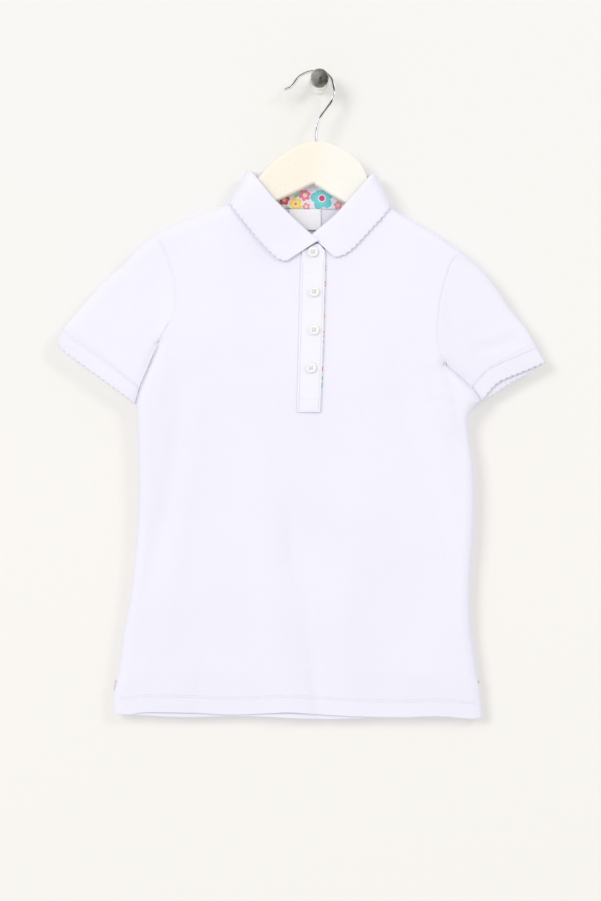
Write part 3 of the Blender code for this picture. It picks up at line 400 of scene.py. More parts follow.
# Outline as it hangs: the folded lines where front turns into back, and the seams between the pieces
outline = dict(
    leftSide=[
        (-222.9, -685.5), (-222.4, -658.0), (-221.6, -653.4), (-218.6, -651.0), (-217.8, -645.0), (-215.8, -627.0),
        (-211.5, -594.0), (-205.4, -562.0), (-200.0, -519.0), (-196.7, -476.0), (-195.7, -432.0), (-196.4, -395.0),
        (-197.8, -360.0), (-198.4, -349.0), (-193.3, -330.6), (-185.8, -313.4), (-180.0, -299.8), (-174.5, -286.0)],
    rightSide=[
        (176.9, -689.5), (174.6, -659.0), (174.0, -654.0), (172.2, -651.6), (171.4, -644.0), (167.5, -616.0),
        (164.0, -584.0), (164.0, -540.0), (167.0, -497.0), (168.3, -454.0), (167.2, -421.0), (162.9, -392.0),
        (160.2, -374.0), (161.6, -363.0), (166.4, -356.0), (171.6, -351.0), (173.8, -346.2), (170.8, -340.7),
        (165.9, -333.6), (153.4, -322.6), (137.0, -308.0)],
    leftArmhole=[
        (-178.0, -166.0), (-169.7, -181.0), (-163.3, -197.0), (-157.9, -218.6), (-156.4, -243.5),
        (-160.6, -258.0), (-168.6, -270.5), (-174.5, -286.0)],
    rightArmhole=[
        (155.3, -186.2), (143.5, -197.5), (134.8, -221.8), (129.4, -249.0), (128.3, -276.0),
        (130.5, -292.0), (137.0, -308.0)],
    leftShoulder=[(-178.0, -166.0), (-147.1, -151.8), (-121.1, -142.4), (-98.0, -134.2), (-82.3, -126.0)],
    rightShoulder=[
        (155.3, -186.2), (139.1, -174.8), (125.1, -164.5), (104.6, -154.0), (79.0, -139.5), (64.6, -129.5)],
    leftSleeveTop=[
        (-178.0, -166.0), (-197.8, -182.9), (-212.9, -200.5), (-233.5, -218.0), (-250.7, -238.0),
        (-269.1, -259.6), (-277.7, -270.4), (-283.1, -283.4)],
    leftSleeveUnder=[(-174.5, -286.0), (-180.1, -299.8), (-185.9, -313.4), (-193.4, -330.6), (-198.6, -349.0)],
    rightSleeveTop=[
        (155.3, -186.2), (164.0, -194.8), (176.9, -206.5), (193.1, -227.2), (207.2, -248.8),
        (224.5, -270.4), (236.3, -292.0), (243.9, -304.0)],
    rightSleeveUnder=[(137.0, -308.0), (153.5, -322.5), (166.0, -333.5), (171.0, -340.6), (174.5, -346.0)],
)
form = dict(
    depth=[  # by height: z, middle of the two layers, half of the depth over both
        (-100.0, -22.0, 9.4), (-200.0, -22.0, 9.4), (-260.0, -21.5, 9.8), (-330.0, -20.0, 10.6),
        (-420.0, -18.0, 10.2), (-540.0, -15.5, 9.4), (-640.0, -14.0, 8.2), (-692.0, -13.0, 4.6)],
    edgeTurn=12.0,  # reach of the rounded turn at a folded line
    underarm=0.75,  # how full the cloth stays at the folded lines where sleeve and side lie together
    seamGap=0.3,
    seamDip=0.38, seamReach=1.3,  # how far a seam sinks, and how far off it that starts
    # the tops of the left and right vents, and how they open
    ventTop=(-651.0, -653.0), ventOpen=0.7, ventReach=25.0,
    ventColumns=12, ventNear=9.0,
    hemFrom=-680.0,  # a fold that ends below this runs off the hem
    drift=0.28,  # uneven lie of the whole cloth
)
# Folds, -1 in front and 1 behind: path down the middle, width across, depth (forward if over 0)
folds = {
    -1: [
        dict(path=[(-150, -305), (-152, -370), (-163, -455), (-178, -520), (-193, -572)], width=11, depth=-2.4),
        dict(path=[(-132, -320), (-134, -400), (-146, -480), (-160, -560), (-172, -640)], width=15, depth=1.6),
        dict(path=[(-37, -445), (-30, -508), (-17, -562), (-8, -616), (-1, -690)], width=8, depth=-2.6),
        dict(path=[(-58, -470), (-52, -540), (-40, -620), (-32, -690)], width=16, depth=1.8),
        dict(path=[(22, -520), (30, -600), (38, -690)], width=16, depth=1.6),
        dict(path=[(75, -285), (88, -346), (104, -400), (122, -450), (138, -500), (152, -555)], width=11,
             depth=-2.6),
        dict(path=[(100, -290), (116, -350), (132, -400), (148, -440)], width=12, depth=1.8),
        dict(path=[(70, -200), (98, -250), (128, -300)], width=12, depth=-1.2),
        dict(path=[(136, -350), (146, -385), (160, -420)], width=9, depth=-1.8),
        dict(path=[(88, -560), (104, -600), (118, -640)], width=14, depth=-1.2),
    ],
    1: [
        dict(path=[(-120, -300), (-128, -420), (-140, -560), (-150, -690)], width=16, depth=-2.0),
        dict(path=[(-20, -420), (-14, -540), (-8, -690)], width=15, depth=-2.2),
        dict(path=[(95, -310), (108, -430), (118, -560), (122, -690)], width=16, depth=-2.0),
    ],
}
# Finer creases, on the cloth alone
creases = {
    -1: [
        dict(path=[(-212.9, -196), (-209.7, -236), (-199, -268)], width=8, depth=-1.3),
        dict(path=[(-197, -202), (-194, -238), (-184, -266)], width=8, depth=0.8),
        dict(path=[(-236, -262), (-222, -286), (-206, -300)], width=7, depth=-0.9),
        dict(path=[(163, -295), (190, -288), (218, -279)], width=6, depth=-1.2),
        dict(path=[(168, -283), (192, -275), (212, -268)], width=6, depth=0.7),
        dict(path=[(138, -226), (142, -262), (152, -290)], width=8, depth=-0.8),
        dict(path=[(130, -296), (138, -316), (147, -342), (154, -378), (160, -404)], width=5, depth=-2.2),
        dict(path=[(122, -318), (130, -336), (139, -362), (147, -396)], width=6, depth=1.3),
        dict(path=[(112, -310), (126, -330), (140, -340)], width=5, depth=-1.0),
        dict(path=[(118, -342), (132, -348), (146, -352)], width=5, depth=-1.0),
        dict(path=[(122, -362), (136, -372), (150, -384)], width=6, depth=0.7),
        dict(path=[(-166, -305), (-170, -330), (-176, -356)], width=5, depth=0.8),
        dict(path=[(-40, -215), (-34, -250), (-31, -300)], width=6, depth=-0.5),
        dict(path=[(22, -215), (16, -260), (14, -320)], width=7, depth=-0.4),
        dict(path=[(-24, -362), (-34, -400), (-52, -452)], width=9, depth=-0.6),
        dict(path=[(4, -362), (12, -410), (30, -462)], width=9, depth=-0.5),
        dict(path=[(-120, -600), (-128, -640), (-132, -689)], width=10, depth=-0.9),
        dict(path=[(64, -600), (72, -645), (78, -690)], width=9, depth=-0.8),
        dict(path=[(-96, -175), (-84, -215), (-66, -262)], width=12, depth=-0.7),
        dict(path=[(-82, -158), (-66, -182), (-48, -204), (-38, -218)], width=8, depth=-1.6),
        dict(path=[(-34, -195), (-29, -211), (-24, -232)], width=2.5, depth=-0.6),
        dict(path=[(-39, -198), (-34, -216), (-28, -240)], width=4, depth=0.5),
    ],
    1: [
        dict(path=[(-206, -200), (-204, -240), (-196, -270)], width=8, depth=-1.2),
        dict(path=[(176, -222), (186, -255), (188, -285)], width=8, depth=-1.1),
        dict(path=[(-150, -300), (-140, -330), (-120, -352)], width=6, depth=-1.0),
        dict(path=[(132, -318), (118, -345), (100, -362)], width=6, depth=-1.0),
        dict(path=[(-90, -180), (-70, -240), (-60, -330)], width=13, depth=-0.7),
        dict(path=[(60, -185), (52, -250), (50, -340)], width=13, depth=-0.7),
        dict(path=[(-80, -560), (-76, -620), (-72, -690)], width=10, depth=-0.8),
        dict(path=[(60, -580), (62, -630), (66, -690)], width=10, depth=-0.8),
        dict(path=[(-178, -430), (-170, -520), (-176, -610)], width=10, depth=-0.9),
        dict(path=[(146, -400), (142, -480), (148, -560)], width=10, depth=-0.9),
    ],
}


def atRows(table, places):
    # rows read from a smooth curve through the table's rows, at places between them such as 2.5
    table = np.asarray(table, float)
    ends = np.vstack([2 * table[0] - table[1], table, 2 * table[-1] - table[-2]])
    first = np.minimum(np.asarray(places).astype(int), len(table) - 2)
    t = (np.asarray(places, float) - first)[:, None]
    a, b, c, d = (ends[first + k] for k in range(4))
    return 0.5 * (2 * b + (c - a) * t + (2 * a - 5 * b + 4 * c - d) * t**2 + (3 * b - a - 3 * c + d) * t**3)


def unit(vectors):
    return vectors / np.maximum(np.linalg.norm(vectors, axis=-1, keepdims=True), 1e-9)


def lengthsAlong(points):
    return np.concatenate([[0], np.cumsum(np.linalg.norm(np.diff(points, axis=0), axis=1))])


def curve(points, fractions):
    # points at the given fractions of a smooth curve's length
    dense = atRows(points, np.linspace(0, len(points) - 1, 12 * (len(points) - 1) + 1))
    lengths = lengthsAlong(dense)
    wanted = np.asarray(fractions, float) * lengths[-1]
    return np.stack([np.interp(wanted, lengths, column) for column in dense.T], axis=1)


def finer(steps, times):
    # the same run of numbers with more between each two
    return np.interp(np.arange(0, len(steps) - 1 + 1e-9, 1 / times), range(len(steps)), steps)


def toLine(points, line):
    # distance of each point to a line, and how far along the line the nearest place is
    starts, steps = line[:-1], np.diff(line, axis=0)
    along = ((points[:, None] - starts) * steps).sum(axis=2) / (steps**2).sum(axis=1)
    along = np.clip(along, 0, 1)
    away = np.linalg.norm(starts + along[..., None] * steps - points[:, None], axis=2)
    nearest = away.argmin(axis=1)
    rows = np.arange(len(points))
    return away[rows, nearest], (nearest + along[rows, nearest]) / len(steps)


evenly = np.linspace(0, 1, 37)
# four lines for each side of the shirt, always in this order
foldedLines = [curve(outline[side + line], evenly) for side in ("left", "right")
               for line in ("Shoulder", "Side", "SleeveTop", "SleeveUnder")]
shoulderLines = foldedLines[::4]
armholeLines = [curve(outline[side + "Armhole"], np.linspace(0, 1, 40)) for side in ("left", "right")]


def depthAt(z, column):
    return np.interp(-z, [-row[0] for row in form["depth"]], [row[column] for row in form["depth"]])


def middleDepth(z):
    return depthAt(z, 1)


def halfDepth(z):
    return depthAt(z, 2)


def relief(points, facing):
    total = np.zeros(len(points))
    for fold in folds[facing] + creases[facing]:
        away, along = toLine(points, np.array(fold["path"], float))
        toHem = fold["path"][-1][1] < form["hemFrom"]
        fade = np.minimum(1, 4 * along + 0.05) if toHem else np.sin(pi * along) ** 0.7
        total += fold["depth"] * np.exp(-(away / fold["width"]) ** 2) * fade
    x, z = points.T
    return total + np.sin(x / 17 + z / 41 + facing) * np.sin(z / 29 - x / 53) * form["drift"]


def layer(points, facing, slack=1.0, fine=True):
    # depth of a layer's outer side at each x, z: facing is -1 on the front and 1 on the back
    points = np.asarray(points, float).reshape(-1, 2)
    away = np.array([toLine(points, line)[0] for line in foldedLines])
    turn = np.minimum(away.min(axis=0) / form["edgeTurn"], 1)
    rise = np.sqrt(np.maximum(0, 1 - (1 - turn) ** 2))
    sides, unders = away[1::4], away[3::4]
    together = np.maximum(sides, unders).min(axis=0) / form["edgeTurn"]
    rise = np.maximum(rise, form["underarm"] * np.clip(1 - together, 0, 1))
    z = points[:, 1]
    out = form["seamGap"] / 2 + (halfDepth(z) * slack + relief(points, facing)) * rise
    if fine:
        seam = np.min([toLine(points, line)[0] for line in armholeLines], axis=0)
        out -= form["seamDip"] * np.exp(-(seam / form["seamReach"]) ** 2) * rise
    return middleDepth(z) + facing * out


def gridNormals(grid, wraps):
    down = np.gradient(grid, axis=0)
    across = np.roll(grid, -1, axis=1) - np.roll(grid, 1, axis=1) if wraps else np.gradient(grid, axis=1)
    normal = np.cross(across, down)
    return unit(normal)


def ringFaces(rings, around):
    # walls between rings of points that follow each other, and a face over each end
    faces = []
    for i in range(rings - 1):
        for k in range(around):
            a, b = i * around + k, i * around + (k + 1) % around
            faces.append([a, b, b + around, a + around])
    return faces + [list(range(around)), list(range((rings - 1) * around, rings * around))]


def addPiece(name, vertices, faces, material, slot, uv=None, sharp=None):
    mesh = bpy.data.meshes.new(name)
    mesh.from_pydata((np.asarray(vertices) * mm).tolist(), [], faces)
    if uv is not None:
        corners = np.zeros(len(mesh.loops), int)
        mesh.loops.foreach_get("vertex_index", corners)
        mesh.uv_layers.new(name="cloth").data.foreach_set("uv", (np.asarray(uv)[corners] * mm).ravel())
    shape = bmesh.new()
    shape.from_mesh(mesh)
    bmesh.ops.recalc_face_normals(shape, faces=shape.faces)
    shape.to_mesh(mesh)
    shape.free()
    mesh.shade_smooth()
    if sharp:
        mesh.set_sharp_from_angle(angle=sharp)
    mesh.materials.append(materials[material])
    piece = link(bpy.data.objects.new(name, mesh))
    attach(piece, "root")
    return piece


def clothWall(name, grid, thickness, material, slot, wraps=False, cut=None, uv=None, facing=None):
    # a closed wall of cloth with rounded edges; the grid is its outer side, and cut marks cells left out
    rows, columns = grid.shape[:2]
    normals = gridNormals(grid, wraps)
    if facing is None:
        away = grid - grid.mean(axis=1, keepdims=True)
        normals *= np.sign((normals * away).sum())
    else:
        normals *= np.sign((normals * facing).sum())
    ids = np.arange(rows * columns).reshape(rows, columns)
    rightward = np.roll(ids, -1, axis=1)
    if not wraps:
        ids, rightward = ids[:, :-1], rightward[:, :-1]
    cells = np.stack([ids[:-1], rightward[:-1], rightward[1:], ids[1:]], axis=2)
    kept = cells[~cut] if cut is not None else cells.reshape(-1, 4)
    quads = kept.tolist()
    owner = {}
    for quad in quads:
        for a, b in zip(quad, quad[1:] + quad[:1]):
            owner[a, b] = quad
    outer = grid.reshape(-1, 3)
    normal = normals.reshape(-1, 3)
    inner = outer - normal * thickness
    count = len(outer)
    border = [(a, b, quad) for (a, b), quad in owner.items() if (b, a) not in owner]
    push = {}
    for a, b, quad in border:
        aside = np.cross(outer[b] - outer[a], normal[a])
        if aside @ (outer[quad].mean(axis=0) - outer[a]) > 0:
            aside = -aside
        for corner in (a, b):
            push[corner] = push.get(corner, 0) + unit(aside)
    rim = {corner: 2 * count + k for k, corner in enumerate(push)}
    rimPoints = [(outer[c] + inner[c]) / 2 + unit(push[c]) * thickness * 0.35 for c in push]
    faces = quads + [[v + count for v in reversed(quad)] for quad in quads]
    for a, b, _ in border:
        faces.append([b, a, rim[a], rim[b]])
        faces.append([rim[b], rim[a], a + count, b + count])
    vertices = np.vstack([outer, inner, np.array(rimPoints)])
    if uv is not None:
        flat = np.asarray(uv).reshape(-1, 2)
        uv = np.vstack([flat, flat, flat[list(push)]])
    used = np.zeros(len(vertices), bool)
    used[[v for face in faces for v in face]] = True
    number = np.cumsum(used) - 1
    faces = [[int(number[v]) for v in face] for face in faces]
    piece = addPiece(name, vertices[used], faces, material, slot, None if uv is None else uv[used])
    piece["side"] = float(np.linalg.norm(np.cross(outer[kept[:, 1]] - outer[kept[:, 0]],
                                                  outer[kept[:, 3]] - outer[kept[:, 0]]), axis=1).sum()) * mm**2
    return piece


def declareSheet(piece, wide, long, held, *restsOn):
    # works out the cut's size and the area of the cloth's one side but keeps neither, and takes the stored side
    # area off the piece
    area = piece["side"]
    del piece["side"]
    wide * mm
    long * mm
    min(area, wide * long * mm**2)


stitch = dict(
    length=2.5, gap=0.7, radius=0.26, sunk=0.1, sides=6,
    rings=[(0.35, 0.1), (1.0, 0.9), (1.0, 0.9), (0.35, 0.1)],  # width and height off the cloth, in radii
)


def stitchRow(points, normals):
    # vertices and faces of a run of stitches that lies on the surface along the points
    points, normals = np.asarray(points, float), np.asarray(normals, float)
    travelled = lengthsAlong(points)
    rings, sides = stitch["rings"], stitch["sides"]
    vertices, faces = [], []
    at = 0.0
    while at + stitch["length"] < travelled[-1]:
        ends = [at, at + stitch["length"]]
        places = np.linspace(*ends, len(rings))
        line = np.stack([np.interp(places, travelled, column) for column in points.T], axis=1)
        up = unit(np.array([np.interp(sum(ends) / 2, travelled, column) for column in normals.T]))
        aside = unit(np.cross(unit(line[-1] - line[0]), up))
        faces += [[v + len(vertices) for v in face] for face in ringFaces(len(rings), sides)]
        for place, (wide, high) in zip(line, rings):
            middle = place + up * (stitch["radius"] * high - stitch["sunk"])
            for angle in 2 * pi * np.arange(sides) / sides:
                vertices.append(middle + (aside * cos(angle) + up * sin(angle)) * stitch["radius"] * wide)
        at += stitch["length"] + stitch["gap"]
    return vertices, faces


def stitches(name, runs):
    # runs: (points, normals), joined in one piece of sewing thread
    vertices, faces = [], []
    for points, normals in runs:
        more, moreFaces = stitchRow(points, normals)
        faces += [[v + len(vertices) for v in face] for face in moreFaces]
        vertices += more
    return addPiece(name, np.array(vertices), faces, "thread", "body_cloth")


def onLayer(line, facing, out=0.0, slack=1.0):
    # a flat line laid on a layer, with the surface's normals
    line = np.asarray(line, float)
    depth = layer(line, facing, slack)
    step = 0.5
    slopeX = (layer(line + (step, 0), facing, slack) - layer(line - (step, 0), facing, slack)) / (2 * step)
    slopeZ = (layer(line + (0, step), facing, slack) - layer(line - (0, step), facing, slack)) / (2 * step)
    normals = unit(np.stack([-slopeX, np.ones(len(line)), -slopeZ], axis=1) * facing)
    points = np.stack([line[:, 0], depth, line[:, 1]], axis=1) + normals * out
    return points, normals


def beside(line, away):
    # a flat line moved sideways
    tangent = unit(np.gradient(np.asarray(line, float), axis=0))
    return line + np.stack([-tangent[:, 1], tangent[:, 0]], axis=1) * away


panels = dict(
    thickness=1.2,
    finer=5,  # how many cells each step of the runs below becomes
    armhole=[0, 0.008, 0.03, 0.07, 0.13, 0.22, 0.34, 0.48, 0.62, 0.75, 0.86, 0.94, 0.985, 1],
    side=[0, 0.006, 0.02, 0.038, 0.046, 0.051, 0.057, 0.068, 0.078, 0.085, 0.095, 0.12, 0.2, 0.28, 0.36, 0.44,
          0.52, 0.6, 0.68, 0.75, 0.8, 0.835, 0.86, 0.885, 0.91, 0.94, 0.97, 1],
    hemHigh=20.0, hemThick=0.35, hemSharp=1.1,
    # heights of the hem's two sewn rows, and how they press in
    hemRows=(16.8, 19.4), grooveWide=0.8, groove=0.4,
    hemReach=16.0, hemApart=2.9,  # how far up the back's hem follows the front's, and how far behind it
    puckerStep=2.6, puckerReach=9.0, pucker=0.1,
    slitEnd=-350.0,
)
frontPanel = dict(
    hem=[
        (-222.9, -685.5), (-206.0, -686.5), (-188.0, -684.0), (-140.0, -684.5), (-96.0, -686.5),
        (-53.0, -685.0), (-31.0, -684.0), (1.0, -686.5), (45.0, -688.5), (87.0, -689.5), (130.0, -688.5),
        (163.0, -691.0), (176.9, -689.5)],
    neckLeft=[
        (-82.3, -126.0), (-72.5, -136.4), (-60.7, -148.8), (-46.6, -162.4), (-30.4, -176.4), (-12.5, -184.5)],
    neckRight=[
        (-0.5, -185.0), (8.0, -183.4), (17.1, -177.5), (31.1, -165.6), (45.2, -150.5), (56.0, -138.6),
        (64.6, -129.5)],
    columns=[0, 0.8, 3.2, 7.5, 14, 24, 38, 56, 80, 104, 128, 150, 166, 180, 193],
    shoulder=[0, 0.05, 0.11, 0.18, 0.29, 0.46, 0.66, 0.85, 1],
    leftSteps=[0, 0.05, 0.15, 0.35, 0.6, 0.82, 1],
    rightSteps=[0, 0.12, 0.3, 0.55, 0.85, 0.95, 1],
    cut=(460, 600),
)
backPanel = dict(
    hem=[
        (-222.9, -685.5), (-190.0, -687.5), (-139.0, -689.5), (-96.0, -688.0), (-60.0, -689.0),
        (0.0, -691.5), (40.0, -690.5), (87.0, -689.5), (140.0, -690.0), (176.9, -689.5)],
    neck=[
        (-82.3, -126.0), (-61.7, -129.4), (-36.9, -130.4), (-8.8, -130.8), (19.3, -131.2), (44.1, -131.6),
        (64.6, -129.5)],
    columns=[0, 0.8, 3.2, 7.5, 14, 28, 50, 80, 112, 144, 174, 200],
    shoulder=[0, 0.06, 0.15, 0.32, 0.58, 0.83, 1],
    neckSteps=[0, 0.03, 0.09, 0.19, 0.34, 0.5, 0.66, 0.81, 0.91, 0.97, 1],
    cut=(460, 600),
)


def patch(bottom, top, left, right, across, up):
    # points filled in between four edge lines
    u, v = np.asarray(across)[None, :, None], np.asarray(up)[:, None, None]
    ruled = (1 - v) * bottom[None] + v * top[None] + (1 - u) * left[:, None] + u * right[:, None]
    corners = (1 - u) * (1 - v) * bottom[0] + u * (1 - v) * bottom[-1] + (1 - u) * v * top[0] + u * v * top[-1]
    return ruled - corners


def panelEdge(side, hemEnd):
    times = panels["finer"]
    rows = curve([hemEnd, *outline[side + "Side"][1:]], finer(panels["side"], times))
    return np.vstack([rows, curve(outline[side + "Armhole"], finer(panels["armhole"], times))[-2::-1]])


def hemBand(z, hemZ):
    # how far the doubled hem stands out at a height above the hem
    high = z - hemZ
    band = 0.5 - 0.5 * np.tanh((high - panels["hemHigh"]) * panels["hemSharp"])
    groove = sum(np.exp(-((high - row) / panels["grooveWide"]) ** 2) for row in panels["hemRows"])
    return panels["hemThick"] * (band - panels["groove"] * groove)


def makePanel(name, panel, facing, top, slit):
    times = panels["finer"]
    hem = panel["hem"]
    left, right = panelEdge("left", hem[0]), panelEdge("right", hem[-1])
    steps = finer(panel["columns"], times) / (hem[-1][0] - hem[0][0])
    across = np.concatenate([steps, 1 - (steps[::-1] if slit else steps[-2::-1])])
    heights = (left[:, 1] + right[:, 1]) / 2
    up = (heights - heights[0]) / (heights[-1] - heights[0])
    bottom = curve(hem, across)
    flat = patch(bottom, top, left, right, across, up)
    x, z = flat[..., 0], flat[..., 1]
    hemZ = bottom[:, 1]
    y = layer(flat.reshape(-1, 2), facing).reshape(z.shape)
    puckered = np.exp(-((z - hemZ - panels["hemHigh"]) / panels["puckerReach"]) ** 2) * panels["pucker"]
    y += facing * (hemBand(z, hemZ) + np.sin(x / panels["puckerStep"]) * puckered)
    if not slit:
        # the back's hem lies against the front's
        shut = layer(flat.reshape(-1, 2), -1).reshape(z.shape) + panels["hemApart"]
        y += (shut - y) * np.exp(-((z - hemZ) / panels["hemReach"]) ** 2)
    shoulderCells = (len(panel["shoulder"]) - 1) * times + 1
    folded = np.zeros(z.shape, bool)
    folded[:len(finer(panels["side"], times)) - 1, [0, -1]] = True
    folded[-1, :shoulderCells] = folded[-1, -shoulderCells:] = True
    y[folded] = middleDepth(z)[folded] + facing * form["seamGap"] / 2
    beside = form["ventColumns"]
    for column, ventTop in zip((slice(0, beside), slice(-beside, None)), form["ventTop"]):
        opened = np.clip((ventTop - z[:, column]) / form["ventReach"], 0, 1)
        closeness = 1 - np.abs(y[:, column] - middleDepth(z[:, column])) / form["ventNear"]
        y[:, column] += facing * form["ventOpen"] * opened * np.clip(closeness, 0, 1)
    cut = None
    if slit:
        cut = np.zeros((z.shape[0] - 1, z.shape[1] - 1), bool)
        cut[:, len(steps) - 1] = z[:-1, len(steps) - 1] > panels["slitEnd"]
    grid = np.stack([x, y, z], axis=2)
    piece = clothWall(name, grid, panels["thickness"], "pique", "body_cloth", cut=cut, facing=(0, facing, 0))
    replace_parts(piece, name)
    declareSheet(piece, *panel["cut"], "hung", "hanger")


def makeFront():
    times = panels["finer"]
    shoulders = finer(frontPanel["shoulder"], times)
    makePanel("front", frontPanel, -1, np.vstack([
        curve(outline["leftShoulder"], shoulders),
        curve(frontPanel["neckLeft"], finer(frontPanel["leftSteps"], times))[1:],
        curve(frontPanel["neckRight"], finer(frontPanel["rightSteps"], times))[:-1],
        curve(outline["rightShoulder"], shoulders)[::-1]]), True)


def makeBack():
    times = panels["finer"]
    shoulders = finer(backPanel["shoulder"], times)
    makePanel("back", backPanel, 1, np.vstack([
        curve(outline["leftShoulder"], shoulders),
        curve(backPanel["neck"], finer(backPanel["neckSteps"], times))[1:-1],
        curve(outline["rightShoulder"], shoulders)[::-1]]), False)


sleeves = dict(
    rows=[0, 0.02, 0.07, 0.2, 0.38, 0.58, 0.79, 0.95, 1],
    finer=5, across=42,  # cells for each step of rows, and columns on each side
    cuffHigh=16.0, cuffThick=1.5, cuffSlack=0.22, cuffRows=11, cuffGap=0.3, rootGap=0.05,
    leftCuff=[(-283.1, -283.4), (-274.5, -293.0), (-258.3, -305.0), (-236.7, -320.5), (-198.6, -349.0)],
    rightCuffFront=[(243.9, -304.0), (226.6, -311.5), (202.9, -321.0), (189.9, -328.5), (174.5, -346.0)],
    rightCuffBack=[(243.9, -304.0), (227.7, -315.0), (207.2, -326.0), (189.9, -337.5), (174.5, -346.0)],
    cut=(300, 150), cuffCut=(215, 17),
)
scallop = dict(length=6.6, height=1.5, step=0.7, rows=(0.12, 0.35, 0.7, 1.0))


def scalloped(grid, wraps):
    # draws the last rows out into a picot edge, and gives the strip's own lengths for its rib
    edge = grid[-1]
    along = lengthsAlong(np.vstack([edge, edge[:1]]) if wraps else edge)[:len(edge)]
    bulge = scallop["height"] * np.abs(np.sin(pi * along / scallop["length"])) ** 0.9
    outward = unit(grid[-1] - grid[-2])
    made = grid.copy()
    for k, share in enumerate(scallop["rows"]):
        made[k - len(scallop["rows"])] += outward * (bulge * share)[:, None]
    inward = np.cumsum(np.linalg.norm(np.diff(grid[::-1], axis=0), axis=2), axis=0)[::-1]
    inward = np.vstack([inward, np.zeros((1, grid.shape[1]))])
    return made, np.stack([np.broadcast_to(along, inward.shape), inward], axis=2)


def acrossSteps(count):
    # closer together at the folds, where the cloth turns
    close = [0, 0.004, 0.012, 0.026, 0.045]
    return np.concatenate([close, np.linspace(0.07, 0.93, count), 1 - np.array(close[::-1])])


def foldToCuff(line):
    whole = curve(line, evenly)
    backUp = unit(whole[-4] - whole[-1])
    share = finer(sleeves["rows"], sleeves["finer"])
    rows = curve(line, share * (1 - sleeves["cuffHigh"] / lengthsAlong(whole)[-1]))
    rows[-1] = whole[-1] + backUp * sleeves["cuffHigh"]
    return rows, backUp


def ring(frontFlat, backFlat, slacks):
    # closes a front and a back patch, upper fold to lower fold, into rings
    across = frontFlat.shape[1]
    grids = []
    for flat, facing in ((frontFlat, -1), (backFlat, 1)):
        y = np.stack([layer(row, facing, slack) for row, slack in zip(flat, slacks)])
        y[:, [0, -1]] = middleDepth(flat[:, [0, -1], 1])
        grids.append(np.stack([flat[..., 0], y, flat[..., 1]], axis=2))
    return np.concatenate([grids[0], grids[1][:, across - 2:0:-1]], axis=1)


def sleeveParts(side, cuffFront, cuffBack, steps):
    # flat points of the sleeve, which front and back share, and of the cuff's front and back
    seam = curve(outline[side + "Armhole"], steps)
    tangent = np.gradient(seam, axis=0)
    outward = np.stack([-tangent[:, 1], tangent[:, 0]], axis=1)
    topLine, underLine = outline[side + "SleeveTop"], outline[side + "SleeveUnder"]
    outward *= np.sign((outward * (np.array(topLine[-1]) - seam)).sum())
    root = seam + sleeves["rootGap"] * unit(outward)
    top, topUp = foldToCuff(topLine)
    under, underUp = foldToCuff(underLine)
    top[0], under[0] = root[0], root[-1]
    share = np.asarray(steps)[:, None]
    upward = topUp * (1 - share) + underUp * share
    cuffSeam = curve(cuffFront, steps) + upward * sleeves["cuffHigh"]
    up = finer(sleeves["rows"], sleeves["finer"])
    sleeve = patch(root, cuffSeam, top, under, steps, up)
    start = cuffSeam - upward * sleeves["cuffGap"]
    cuffs = []
    for line in (cuffFront, cuffBack):
        edge = curve(line, steps)
        cuffs.append(np.stack([start * (1 - t) + edge * t for t in np.linspace(0, 1, sleeves["cuffRows"])]))
    return sleeve, cuffs


def makeSleeve(side, cuffFront, cuffBack):
    up = finer(sleeves["rows"], sleeves["finer"])
    slacks = 1 - (1 - sleeves["cuffSlack"]) * up
    flat, _ = sleeveParts(side, cuffFront, cuffBack, acrossSteps(sleeves["across"]))
    grid = ring(flat, flat, slacks)
    sleeve = clothWall(f"sleeve_{side}", grid, panels["thickness"], "pique", "body_cloth", wraps=True)
    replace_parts(sleeve, f"sleeve_{side}")
    declareSheet(sleeve, *sleeves["cut"], "hung", "front", "back")
    edgeLength = lengthsAlong(curve(cuffFront, evenly))[-1]
    _, cuffs = sleeveParts(side, cuffFront, cuffBack, acrossSteps(int(edgeLength / scallop["step"])))
    cuffGrid = ring(*cuffs, [sleeves["cuffSlack"]] * sleeves["cuffRows"])
    cuffGrid, uv = scalloped(cuffGrid, True)
    cuff = clothWall(f"cuff_{side}", cuffGrid, sleeves["cuffThick"], "rib", "rib_knit", wraps=True, uv=uv)
    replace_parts(cuff, f"cuff_{side}")
    declareSheet(cuff, *sleeves["cuffCut"], "hung", f"sleeve_{side}")


